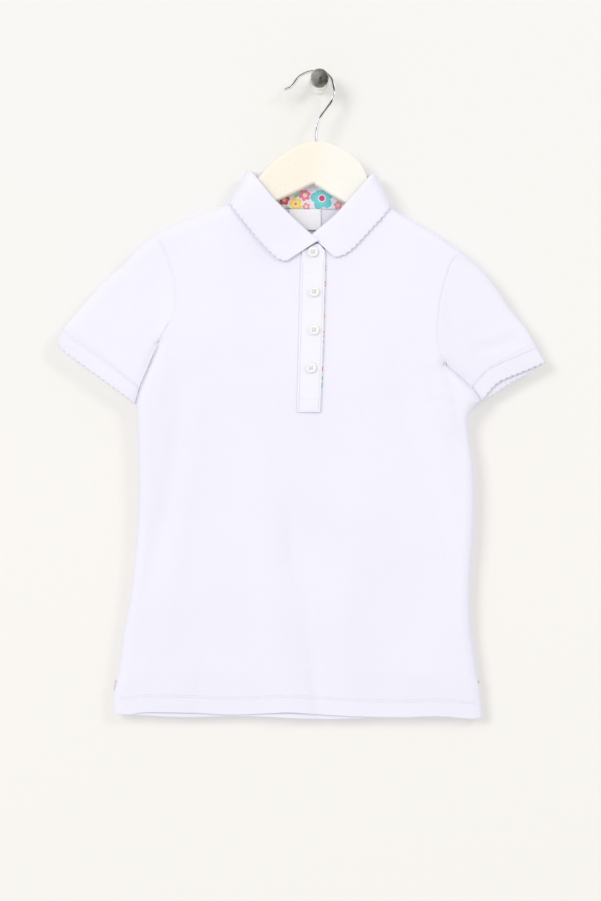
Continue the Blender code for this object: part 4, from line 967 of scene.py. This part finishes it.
collar = dict(
    thickness=1.1, foldRadius=2.2, standGap=0.9, seamOut=0.85, clearance=0.2,
    # how far the left and right points stand forward, and over how many stations
    flare=(1.8, 0.7), flareReach=7.0,
    turns=(-pi / 6, pi / 6), leaf=(0.22, 0.42, 0.58, 0.72, 0.86, 1.0),
    columns=521, between=3,
    cut=(400, 78),
    # from the front left point round the back to the front right point: seam, fold and edge as x, z;
    # turn 0 in front, 1 behind, 0.5 on the shoulder; lift is how far the fold stands forward
    stations=[
        dict(neck=(-15.0, -183.6), fold=(-3.5, -176.0), edge=(-34.5, -196.0), turn=0, lift=2.6),
        dict(neck=(-30.4, -176.4), fold=(-15.5, -165.6), edge=(-44.5, -192.6), turn=0, lift=1.6),
        dict(neck=(-46.6, -162.4), fold=(-32.4, -149.7), edge=(-60.0, -177.6), turn=0, lift=0.4),
        dict(neck=(-60.7, -148.8), fold=(-50.3, -132.0), edge=(-74.7, -160.2), turn=0, lift=0),
        dict(neck=(-72.5, -136.4), fold=(-64.9, -114.4), edge=(-86.5, -145.6), turn=0, lift=0),
        dict(neck=(-79.5, -129.0), fold=(-72.5, -104.9), edge=(-92.4, -137.6), turn=0, lift=0),
        dict(neck=(-82.3, -126.0), fold=(-76.6, -101.0), edge=(-95.6, -131.4), turn=0.5, lift=0),
        dict(neck=(-77.5, -127.4), fold=(-71.0, -101.4), edge=(-91.0, -137.5), turn=1, lift=0),
        dict(neck=(-61.7, -129.4), fold=(-58.0, -101.6), edge=(-70.0, -143.0), turn=1, lift=0),
        dict(neck=(-36.9, -130.4), fold=(-36.9, -102.2), edge=(-38.0, -145.0), turn=1, lift=0),
        dict(neck=(-8.8, -130.8), fold=(-8.8, -102.6), edge=(-8.8, -145.5), turn=1, lift=0),
        dict(neck=(19.3, -131.2), fold=(19.3, -103.4), edge=(20.3, -146.0), turn=1, lift=0),
        dict(neck=(44.1, -131.6), fold=(42.0, -104.2), edge=(53.0, -145.5), turn=1, lift=0),
        dict(neck=(60.0, -130.6), fold=(54.0, -104.4), edge=(71.5, -140.5), turn=1, lift=0),
        dict(neck=(64.6, -129.5), fold=(59.4, -104.4), edge=(76.4, -134.4), turn=0.5, lift=0),
        dict(neck=(61.8, -132.2), fold=(55.6, -107.5), edge=(73.6, -140.5), turn=0, lift=0),
        dict(neck=(56.0, -138.6), fold=(47.0, -118.0), edge=(67.0, -148.6), turn=0, lift=0),
        dict(neck=(45.2, -150.5), fold=(32.6, -134.0), edge=(54.5, -162.0), turn=0, lift=0),
        dict(neck=(31.1, -165.6), fold=(17.5, -150.6), edge=(41.0, -176.8), turn=0, lift=-0.4),
        dict(neck=(17.1, -177.5), fold=(4.0, -161.6), edge=(28.5, -187.6), turn=0, lift=-1.6),
        dict(neck=(9.0, -182.8), fold=(-7.0, -170.8), edge=(16.5, -192.0), turn=0, lift=-2.6),
    ],
)


def onShirt(place, turn, out):
    x, z = place
    if turn == 0.5:
        return np.array((x, middleDepth(z), z))
    facing = -1 if turn == 0 else 1
    return np.array((x, layer([place], facing, fine=False)[0] + facing * out, z))


def collarSection(before, here, after):
    # the collar's visible side at one place: up the stand, over the fold and down the fall
    def foldPoint(row):
        depth = onShirt(row["neck"], row["turn"], collar["seamOut"])[1] - row["lift"]
        return np.array((row["fold"][0], depth, row["fold"][1]))
    seam = onShirt(here["neck"], here["turn"], 0)
    fold = foldPoint(here)
    edge = onShirt(here["edge"], here["turn"], collar["thickness"] + collar["clearance"])
    down = unit((seam + edge) / 2 - fold)
    outward = unit(np.cross(foldPoint(after) - foldPoint(before), down))
    radius = collar["foldRadius"]
    inside = collar["thickness"] - form["seamGap"] / 2
    foot = seam + unit(fold - seam) * collar["standGap"] - outward * inside
    standTop, leafTop = fold - outward * radius, fold + outward * radius
    rows = [foot, (foot + standTop) / 2, standTop]
    rows += [fold + (outward * sin(angle) - down * cos(angle)) * radius for angle in collar["turns"]]
    rows.append(leafTop)
    return rows + [leafTop * (1 - step) + edge * step for step in collar["leaf"]]


def offTheShirt(points, gap):
    # moves points out where they are less than gap off the shirt or the turn of its shoulder
    x, y, z = points.T
    flat = points[:, [0, 2]]
    reaches = [toLine(flat, line) for line in shoulderLines]
    nearer = reaches[0][0] < reaches[1][0]
    away, along = (np.where(nearer, reaches[0][k], reaches[1][k]) for k in (0, 1))
    feet = [atRows(line, along * (len(line) - 1)) for line in shoulderLines]
    foot = np.where(nearer[:, None], *feet)
    upward = flat - foot
    above = upward[:, 1] > 0
    reach = form["edgeTurn"] + np.where(above, away, -away)
    depth, half = y - middleDepth(z), halfDepth(z)
    size = np.hypot(reach, depth)
    grow = (size / np.hypot(reach / form["edgeTurn"], depth / half) + gap) / np.maximum(size, 1e-6)
    grow = np.where(reach > 0, np.maximum(grow, 1), 1)
    direction = upward / np.maximum(away, 1e-6)[:, None] * np.where(above, 1, -1)[:, None]
    flat = flat + direction * (np.maximum(reach, 0) * (grow - 1))[:, None]
    turned = middleDepth(z) + depth * grow
    infront = np.minimum(y, layer(flat, -1, fine=False) - gap)
    behind = np.maximum(y, layer(flat, 1, fine=False) + gap)
    y = np.where(reach > 0, turned, np.where(depth < 0, infront, behind))
    return np.stack([flat[:, 0], y, flat[:, 1]], axis=1)


def collarGrid():
    stations, columns, between = collar["stations"], collar["columns"], collar["between"]
    last = len(stations) - 1
    sections = []
    for k, here in enumerate(stations):
        before, after = stations[max(k - 1, 0)], stations[min(k + 1, last)]
        sections.append(np.concatenate(collarSection(before, here, after)))
    places = np.linspace(0, last, columns)
    rows = atRows(np.array(sections), places).reshape(columns, -1, 3).transpose(1, 0, 2)
    count = len(rows)
    grid = atRows(rows.reshape(count, -1), np.arange(0, count - 1 + 1e-9, 1 / between)).reshape(-1, columns, 3)
    leafRows = (len(collar["leaf"]) - 2) * between
    # the free points of the fall stand a little forward
    ends = sum(flare * np.clip(1 - away / collar["flareReach"], 0, 1) ** 0.6
               for flare, away in zip(collar["flare"], (places, last - places)))
    for k, row in enumerate(range(len(grid) - leafRows, len(grid)), 1):
        grid[row] = offTheShirt(grid[row], collar["thickness"] + collar["clearance"])
        grid[row, :, 1] -= ends * (k / leafRows) ** 1.5
    return grid


def makeCollar():
    grid, uv = scalloped(collarGrid(), False)
    side = gridNormals(grid, False)[-6, grid.shape[1] // 2]  # on the fall, at the back
    piece = clothWall("collar", grid, collar["thickness"], "rib", "rib_knit", uv=uv,
                      facing=side * np.sign(side[1]))
    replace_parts(piece, "collar")
    declareSheet(piece, *collar["cut"], "folded", "front", "back")


placket = dict(
    edges=[(-359.0, -23.9, 0.9), (-281.0, -21.8, 4.1), (-238.0, -20.7, 5.2), (-200.0, -19.7, 6.2)],
    top=[(-18.5, -184.8), (-12.5, -183.2), (-6.5, -179.6), (-0.5, -178.8), (6.0, -186.0)],
    out=[1.55, 1.9, 2.4, 2.95, 2.95],  # how far each column's outer side stands off the front
    thickness=1.2, rows=170, columns=41, upperRows=11, wide=25.0, stitchIn=2.0,
    # the turned edge stands up, and its sewing presses in
    ridge=dict(high=0.25, inside=0.8, wide=0.8), groove=dict(deep=0.3, wide=0.45),
    wave=0.12, waveStep=6.1,  # how the free edge waves
    cut=(27, 185),
    creases=[  # drawn towards the top button
        dict(path=[(-25, -192), (-15, -197.5), (4, -201)], width=1.1, depth=0.6),
        dict(path=[(-24, -196), (-12, -204), (4, -208)], width=1.3, depth=0.55),
        dict(path=[(-24, -203), (-14, -211), (0, -215)], width=1.5, depth=0.25),
        dict(path=[(-22, -238), (-10, -246), (4, -249)], width=3.5, depth=0.25),
        dict(path=[(-22, -292), (-10, -286), (3, -283)], width=3.5, depth=0.25),
    ],
)


def placketEdges(z):
    heights, lefts, rights = zip(*placket["edges"])
    return np.interp(z, heights, lefts), np.interp(z, heights, rights)


def placketGrid():
    shares = np.linspace(0, 1, placket["columns"])
    heights = np.linspace(placket["edges"][0][0], placket["edges"][-1][0], placket["rows"])
    left, right = placketEdges(heights)
    x = left[:, None] + (right - left)[:, None] * shares
    flat = np.stack([x, np.broadcast_to(heights[:, None], x.shape)], axis=2)
    top = atRows(placket["top"], shares * (len(placket["top"]) - 1))
    upper = [flat[-1] * (1 - t) + top * t for t in np.linspace(0, 1, placket["upperRows"] + 1)[1:]]
    flat = np.concatenate([flat, np.stack(upper)])
    out = np.interp(shares, np.linspace(0, 1, len(placket["out"])), placket["out"])
    edge = np.minimum(shares, 1 - shares) * placket["wide"]
    ridge, groove = placket["ridge"], placket["groove"]
    out = out + ridge["high"] * np.exp(-((edge - ridge["inside"]) / ridge["wide"]) ** 2)
    out = out - groove["deep"] * np.exp(-((edge - placket["stitchIn"]) / groove["wide"]) ** 2)
    wave = np.sin(flat[..., 1] / placket["waveStep"]) * placket["wave"] * shares**3
    for crease in placket["creases"]:
        away, along = toLine(flat.reshape(-1, 2), np.array(crease["path"], float))
        pressed = crease["depth"] * np.exp(-(away / crease["width"]) ** 2) * np.sin(pi * along) ** 0.5
        wave -= pressed.reshape(wave.shape)
    y = layer(flat.reshape(-1, 2), -1, fine=False).reshape(flat.shape[:2]) - out - wave
    return np.stack([flat[..., 0], y, flat[..., 1]], axis=2)


strips = dict(
    thickness=1.0, rows=90, columns=12,
    under=dict(ends=(-357, -190), inset=(1, -1), out=-1.55, cut=(26, 168)),
    facing=dict(ends=(-352, -192), wide=5, past=0.55, wave=0.5, waveStep=9, out=1.35, cut=(12, 165)),
)


def makeStrip(node, z, left, right, out, material, slot, cut):
    # a flat strip that follows the front; z, left and right are its heights and edges
    shares = np.linspace(0, 1, strips["columns"])
    x = left[:, None] * (1 - shares) + right[:, None] * shares
    flat = np.stack([x, np.broadcast_to(z[:, None], x.shape)], axis=2)
    y = layer(flat.reshape(-1, 2), -1, fine=False).reshape(x.shape) - out
    grid = np.stack([x, y, flat[..., 1]], axis=2)
    piece = clothWall(node, grid, strips["thickness"], material, slot, facing=(0, -1, 0))
    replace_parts(piece, node)
    declareSheet(piece, *cut, "hung", "front")


def makePlacket():
    band = clothWall("placket", placketGrid(), placket["thickness"], "band", "body_cloth", facing=(0, -1, 0))
    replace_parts(band, "placket")
    declareSheet(band, *placket["cut"], "hung", "front")
    under, facing = strips["under"], strips["facing"]
    z = np.linspace(*under["ends"], strips["rows"])
    left, right = (edge + inset for edge, inset in zip(placketEdges(z), under["inset"]))
    makeStrip("placket_under", z, left, right, under["out"], "pique", "body_cloth", under["cut"])
    z = np.linspace(*facing["ends"], strips["rows"])
    edge = placketEdges(z)[1]
    left, right = edge - facing["wide"], edge + facing["past"] + facing["wave"] * np.sin(z / facing["waveStep"])
    makeStrip("placket_facing", z, left, right, facing["out"], "facingPrint", "floral_strip", facing["cut"])


tape = dict(above=12.5, below=7.5, thickness=1.0, ends=(0.1, 0.9), rows=14, columns=60, cut=(125, 21))
label = dict(left=-32.6, right=2.0, top=-138.9, bottom=-161.5, thickness=0.7, bulge=1.2,
             wave=0.25, waveStep=6.0, rows=18, columns=24, cut=(35, 24))
tapeDrop = tape["thickness"] + form["seamGap"] + 0.05  # how far the tape's outer side lies off the cloth


def makeTape():
    seam = curve(backPanel["neck"], np.linspace(*tape["ends"], tape["columns"]))
    y = layer(seam, 1, fine=False) - collar["thickness"] - tapeDrop
    low, high = seam[:, 1] - tape["below"], tape["above"] + tape["below"]
    rows = [np.stack([seam[:, 0], y + 0.1 * cos(5 * t), low + t * high], axis=1)
            for t in np.linspace(0, 1, tape["rows"])]
    piece = clothWall("neck_tape", np.array(rows), tape["thickness"], "neckPrint", "floral_strip",
                      facing=(0, -1, 0))
    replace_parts(piece, "neck_tape")
    declareSheet(piece, *tape["cut"], "hung", "back")


def makeLabel():
    x = np.linspace(label["left"], label["right"], label["columns"])
    wave = label["wave"] * np.sin(x / label["waveStep"])
    rows = []
    for t in np.linspace(0, 1, label["rows"]):
        z = np.full_like(x, label["top"] * (1 - t) + label["bottom"] * t)
        cloth = layer(np.stack([x, z], axis=1), 1, fine=False)
        y = cloth - panels["thickness"] - tapeDrop - label["bulge"] * t**2 - wave
        rows.append(np.stack([x, y, z], axis=1))
    piece = clothWall("label", np.array(rows), label["thickness"], "label", "label", facing=(0, -1, 0))
    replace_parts(piece, "label")
    declareSheet(piece, *label["cut"], "hung", "neck_tape")


hanger = dict(
    plane=-22.0, thickness=10.0, rounding=4.0, rings=151, corner=10,  # points round each corner
    sections=[  # tip to tip: x, upper edge, lower edge
        (-167.0, -169.0, -174.0), (-163.0, -165.5, -180.0), (-150.0, -157.6, -179.0), (-121.0, -147.0, -166.6),
        (-98.0, -140.5, -155.8), (-89.0, -136.8, -151.6), (-82.3, -132.0, -148.4), (-76.5, -123.4, -146.0),
        (-71.5, -114.2, -143.6), (-67.0, -106.6, -141.3), (-61.7, -100.8, -138.8), (-47.7, -86.8, -132.2),
        (-31.5, -75.2, -124.5), (-17.5, -68.6, -117.8), (-6.7, -66.2, -112.7), (-3.4, -66.2, -114.5),
        (11.7, -68.4, -124.0), (27.9, -76.2, -133.8), (41.9, -86.8, -142.3), (47.0, -94.5, -145.6),
        (50.5, -102.0, -148.0), (53.8, -111.0, -150.5), (57.0, -120.5, -152.9), (60.5, -130.5, -155.0),
        (64.8, -137.5, -157.5), (71.0, -142.5, -160.3), (79.0, -147.2, -164.0), (104.6, -160.0, -176.0),
        (125.0, -170.0, -184.4), (139.0, -180.0, -190.4), (144.0, -184.6, -192.0)],
)
hook = dict(
    radius=1.85, rings=260, sides=20,
    path=[  # free tip to the end in the hanger
        (-36.5, -21.4, -9.6), (-33.0, -21.3, -8.4), (-29.0, -21.2, -5.6), (-22.9, -20.9, 2.8), (-15.3, -20.7, 7.8),
        (-7.7, -20.8, 9.8), (0.0, -21.0, 10.0), (6.2, -21.6, 8.3), (11.0, -22.6, 4.6), (14.2, -23.6, -0.8),
        (16.0, -24.0, -9.0), (15.8, -23.2, -17.0), (13.0, -23.0, -24.0), (7.4, -24.4, -31.7), (2.0, -25.8, -39.3),
        (-1.0, -25.6, -46.0), (-2.6, -24.9, -54.0), (-3.2, -24.0, -62.0), (-3.4, -22.0, -82.0)],
)
peg = dict(length=38.0, neck=7.6, head=10.2, flange=11.2, rounding=1.1,
           headEnd=30.0, flangeThick=4.0, sides=64)


def makeHanger():
    sections = atRows(hanger["sections"], np.linspace(0, len(hanger["sections"]) - 1, hanger["rings"]))
    half = hanger["thickness"] / 2
    vertices = []
    for x, top, bottom in sections:
        rounding = min(hanger["rounding"], (top - bottom) * 0.45)
        for corner, (sy, sz) in enumerate(((1, 1), (-1, 1), (-1, -1), (1, -1))):
            edge = top - rounding if sz > 0 else bottom + rounding
            for angle in pi / 2 * (corner + np.linspace(0, 1, hanger["corner"])):
                vertices.append((x, hanger["plane"] + sy * (half - rounding) + rounding * cos(angle),
                                 edge + rounding * sin(angle)))
    faces = ringFaces(len(sections), 4 * hanger["corner"])
    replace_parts(addPiece("hanger", vertices, faces, "hanger", "hanger", sharp=0.9), "hanger")


def tube(name, path, radius, sides, material, slot):
    # a round wire with domed ends
    path = np.asarray(path, float)
    tangent = unit(np.gradient(path, axis=0))
    dome = [(-1.0, 0.02), (-0.92, 0.4), (-0.7, 0.72), (-0.38, 0.93)]
    rings = [(path[0] + tangent[0] * radius * back, tangent[0], wide) for back, wide in dome]
    rings += [(point, direction, 1.0) for point, direction in zip(path, tangent)]
    rings += [(path[-1] - tangent[-1] * radius * back, tangent[-1], wide) for back, wide in reversed(dome)]
    vertices = []
    for point, direction, wide in rings:
        aside = unit(np.cross(direction, (0, 1, 0)))
        up = np.cross(aside, direction)
        for angle in 2 * pi * np.arange(sides) / sides:
            vertices.append(point + (aside * cos(angle) + up * sin(angle)) * radius * wide)
    return addPiece(name, vertices, ringFaces(len(rings), sides), material, slot)


def makeHook():
    path = atRows(hook["path"], np.linspace(0, len(hook["path"]) - 1, hook["rings"]))
    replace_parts(tube("hanger_hook", path, hook["radius"], hook["sides"], "chrome", "hook_wire"), "hanger_hook")


def lathe(profile, sides):
    # turned about y: profile is (radius, depth) down the outside
    vertices = [(radius * cos(angle), depth, radius * sin(angle))
                for radius, depth in profile for angle in 2 * pi * np.arange(sides) / sides]
    return np.array(vertices), ringFaces(len(profile), sides)


def makePeg():
    r, length, head, neck, flange = (peg[key] for key in ("rounding", "length", "head", "neck", "flange"))
    back, foot = peg["headEnd"], peg["flangeThick"]
    bend = [(head - r + r * cos(a), -length + r - r * sin(a)) for a in np.linspace(pi / 2, 0, 7)]
    profile = [
        (0.4, -length), (head * 0.55, -length), *bend,
        (head, -back - 1), (head - 0.3, -back - 0.3), (head - 0.9, -back), (neck + 0.5, -back),
        (neck, -back + 0.5), (neck, -foot - 0.6), (neck + 0.6, -foot), (flange - 0.6, -foot),
        (flange, -foot + 0.6), (flange, 0.0), (0.4, 0.0)]
    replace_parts(addPiece("wall_peg", *lathe(profile, peg["sides"]), "peg", "peg_steel", sharp=0.6), "wall_peg")


buttons = dict(
    places=[(-6.7, -186.6), (-5.6, -229.4), (-5.6, -270.4), (-8.8, -311.4)],
    radius=5.5, thickness=2.4, dish=1.7, dishRadius=2.9, rim=1.3, edgeTop=1.2, sides=48, off=0.15,
    hole=0.7, holeAway=1.3, thread=0.4, threadRise=0.5, skew=0.015, sharp=0.7,
)


def buttonBody(name, place):
    radius, thickness, dish, rim = (buttons[key] for key in ("radius", "thickness", "dish", "rim"))
    profile = [(0.05, -dish), (buttons["dishRadius"], -dish)]
    for angle in np.linspace(0, pi, 9):
        profile.append((radius - rim + 0.5 * rim * (1 - cos(angle)), -(thickness - 0.5 + 0.5 * sin(angle))))
    profile += [(radius, -buttons["edgeTop"]), (radius - 0.1, -0.5), (radius - 0.6, 0.0), (0.05, 0.0)]
    vertices, faces = lathe(profile, buttons["sides"])
    return addPiece(name, vertices + place, faces, "button", "buttons", sharp=buttons["sharp"])


def drillHole(body, place):
    vertices, faces = lathe([(buttons["hole"], -4), (buttons["hole"], 1)], 16)
    cutter = addPiece("drill", vertices + place, faces, "button", "buttons")
    cut = body.modifiers.new("hole", "BOOLEAN")
    cut.operation, cut.solver, cut.object = "DIFFERENCE", "EXACT", cutter
    bpy.context.view_layer.update()
    drilled = bpy.data.meshes.new_from_object(body.evaluated_get(bpy.context.evaluated_depsgraph_get()))
    body.modifiers.clear()
    body.data = drilled
    bpy.data.objects.remove(cutter)


def makeButtons():
    away = buttons["holeAway"]
    holes = [(dx * away, dz * away) for dx in (1, -1) for dz in (1, -1)]
    ahead = placket["out"][3] + form["seamGap"] + buttons["off"]
    for k, (x, z) in enumerate(buttons["places"], 1):
        y = layer([(x, z)], -1, fine=False)[0] - ahead
        body = buttonBody(f"button_{k}", (x, y, z))
        for dx, dz in holes:
            drillHole(body, (x + dx, y, z + dz))
        body.data.shade_smooth()
        body.data.set_sharp_from_angle(angle=buttons["sharp"])
        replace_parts(body, f"button_{k}")
        for number, (start, end) in enumerate(((holes[0], holes[3]), (holes[1], holes[2])), 1):
            line = []
            for s in np.linspace(-1, 1, 11):
                share = (s + 1) / 2
                dx, dz = (a * (1 - share) + b * share for a, b in zip(start, end))
                rise = buttons["threadRise"] * (1 - s**6) + 0.15 * number - 0.15
                line.append((x + dx + buttons["skew"] * (k - 2.5), y - buttons["dish"] - rise, z + dz))
            tube(f"button_thread_{k}_{number}", line, buttons["thread"], 8, "thread", "body_cloth")


sewing = dict(
    cuffRows=(1.6, 4.2), armholeIn=1.9, shoulderApart=3.0,
    shoulderFront=[(86.0, -142.0), (100.3, -149.4), (119.7, -162.4), (141.3, -176.4), (148.0, -182.0)],
    placketRows=(-356.5, -197.0), placketEnd=(-356.8, -345.0),
    tacks=[(-220.9, -652.0), (173.4, -652.5)], tackThread=0.55, tackTurns=5,
)


def alongHem(hem, high, facing):
    line = curve(hem, np.linspace(0.018, 0.982, 400)) + (0, high)
    return onLayer(line, facing, 0.35)


def alongCuff(side, cuffFront, away, facing):
    steps = np.linspace(0.03, 0.97, 120)
    flat, _ = sleeveParts(side, cuffFront, cuffFront, steps)
    high = lengthsAlong(flat[:, len(steps) // 2])
    line = [[np.interp(high[-1] - away, high, column[:, i]) for i in (0, 1)]
            for column in flat.transpose(1, 0, 2)]
    return onLayer(line, facing, 0.02, 1 - (1 - sleeves["cuffSlack"]) * 0.96)


def onBand(line):
    # a line on the placket band's own surface
    line = np.asarray(line, float)
    left, right = placketEdges(line[:, 1])
    shares = np.linspace(0, 1, len(placket["out"]))
    out = [np.interp((x - a) / (b - a), shares, placket["out"]) for x, a, b in zip(line[:, 0], left, right)]
    y = layer(line, -1, fine=False) - np.array(out)
    normals = np.tile((0.0, -1.0, 0.0), (len(line), 1))
    return np.stack([line[:, 0], y, line[:, 1]], axis=1), normals


def makeSewing():
    runs = [alongHem(panel["hem"], high, facing)
            for panel, facing in ((frontPanel, -1), (backPanel, 1)) for high in panels["hemRows"]]
    stitches("stitches_hem", runs)
    for side, cuffFront in (("left", sleeves["leftCuff"]), ("right", sleeves["rightCuffFront"])):
        runs = [alongCuff(side, cuffFront, away, facing) for away in sewing["cuffRows"] for facing in (-1, 1)]
        armhole = curve(outline[side + "Armhole"], np.linspace(0.06, 0.94, 160))
        inward = beside(armhole, sewing["armholeIn"] * (1 if side == "left" else -1))
        runs += [onLayer(inward, facing, 0.0) for facing in (-1, 1)]
        stitches(f"stitches_sleeve_{side}", runs)
    inside = placket["stitchIn"]
    z = np.linspace(*sewing["placketRows"], 200)
    left, right = placketEdges(z)
    runs = [onBand(np.stack([edge, z], axis=1)) for edge in (left + inside, right - inside)]
    for height in sewing["placketEnd"]:
        left, right = placketEdges(height)
        across = np.linspace(left + inside, right - inside, 30)
        runs.append(onBand(np.stack([across, np.full(30, height)], axis=1)))
    stitches("stitches_placket", runs)
    front = curve(sewing["shoulderFront"], np.linspace(0, 1, 60))
    rows = [front, beside(front, -sewing["shoulderApart"])]
    stitches("stitches_shoulder", [onLayer(row, -1, 0.05) for row in rows])
    for number, (x, z) in enumerate(sewing["tacks"], 1):
        # the thread goes through both layers again and again as it goes down
        turned = 2 * pi * sewing["tackTurns"]
        line = [(x + 0.6 * sin(9 * t), middleDepth(z) - 1.6 + 3.2 * t, z + 2.2 * cos(turned * t)) for t in np.linspace(0, 1, 90)]
        tube(f"tack_{number}", line, sewing["tackThread"], 8, "tack", "body_cloth")


backdropLooks = dict(half=3200.0, behind=0.4)


def upright(name, middle, across, up, material):
    # a plain upright rectangle that isn't part of the object
    mesh = bpy.data.meshes.new(name)
    x, y, z = middle
    corners = [(x + i * across, y, z + j * up) for i, j in ((-1, -1), (1, -1), (1, 1), (-1, 1))]
    mesh.from_pydata((np.array(corners) * mm).tolist(), [], [(0, 1, 2, 3)])
    mesh.materials.append(materials[material])
    made = link(bpy.data.objects.new(name, mesh))
    made.visible_diffuse = made.visible_shadow = False
    return made


def makeStage():
    half = backdropLooks["half"]
    upright("wall", (0, backdropLooks["behind"], 0), half, half, "wall")
    # seen from behind, the wall lets the view through to the shirt's back
    tree = materials["wall"].node_tree
    start = Value(tree)
    output, shader = tree.nodes["Material Output"], tree.nodes["Principled BSDF"]
    behind = start.node("ShaderNodeNewGeometry", out="Backfacing")
    clear = start.node("ShaderNodeBsdfTransparent")
    seen = start.node("ShaderNodeMixShader", None, {0: behind, 1: Value(tree, shader.outputs[0]), 2: clear})
    tree.links.new(seen.socket, output.inputs["Surface"])
    for number, (middle, (across, up), material) in enumerate(cards, 1):
        upright(f"card_{number}", middle, across, up, material).visible_camera = False


def makeLight():
    for name, lamp in lamps.items():
        makeLamp(name, **lamp)
    world = bpy.data.worlds.new("surroundings")
    world.use_nodes = True
    background = world.node_tree.nodes["Background"]
    background.inputs["Color"].default_value = (*surroundings["colour"], 1.0)
    background.inputs["Strength"].default_value = surroundings["strength"]
    bpy.context.scene.world = world
    bpy.context.scene.view_settings.view_transform = "Standard"
    bpy.context.scene.view_settings.look = "None"


makeCamera()
materials = makeMaterials()
print("camera and materials made")
makeFront()
makeBack()
print("front and back made")
makeSleeve("left", sleeves["leftCuff"], sleeves["leftCuff"])
makeSleeve("right", sleeves["rightCuffFront"], sleeves["rightCuffBack"])
print("sleeves and cuffs made")
makeCollar()
makePlacket()
makeTape()
makeLabel()
print("collar, placket, tape and label made")
makeHanger()
makeHook()
makePeg()
makeButtons()
print("hanger, hook, peg and buttons made")
makeSewing()
print("sewing made")
makeStage()
makeLight()
print("stage and light made")
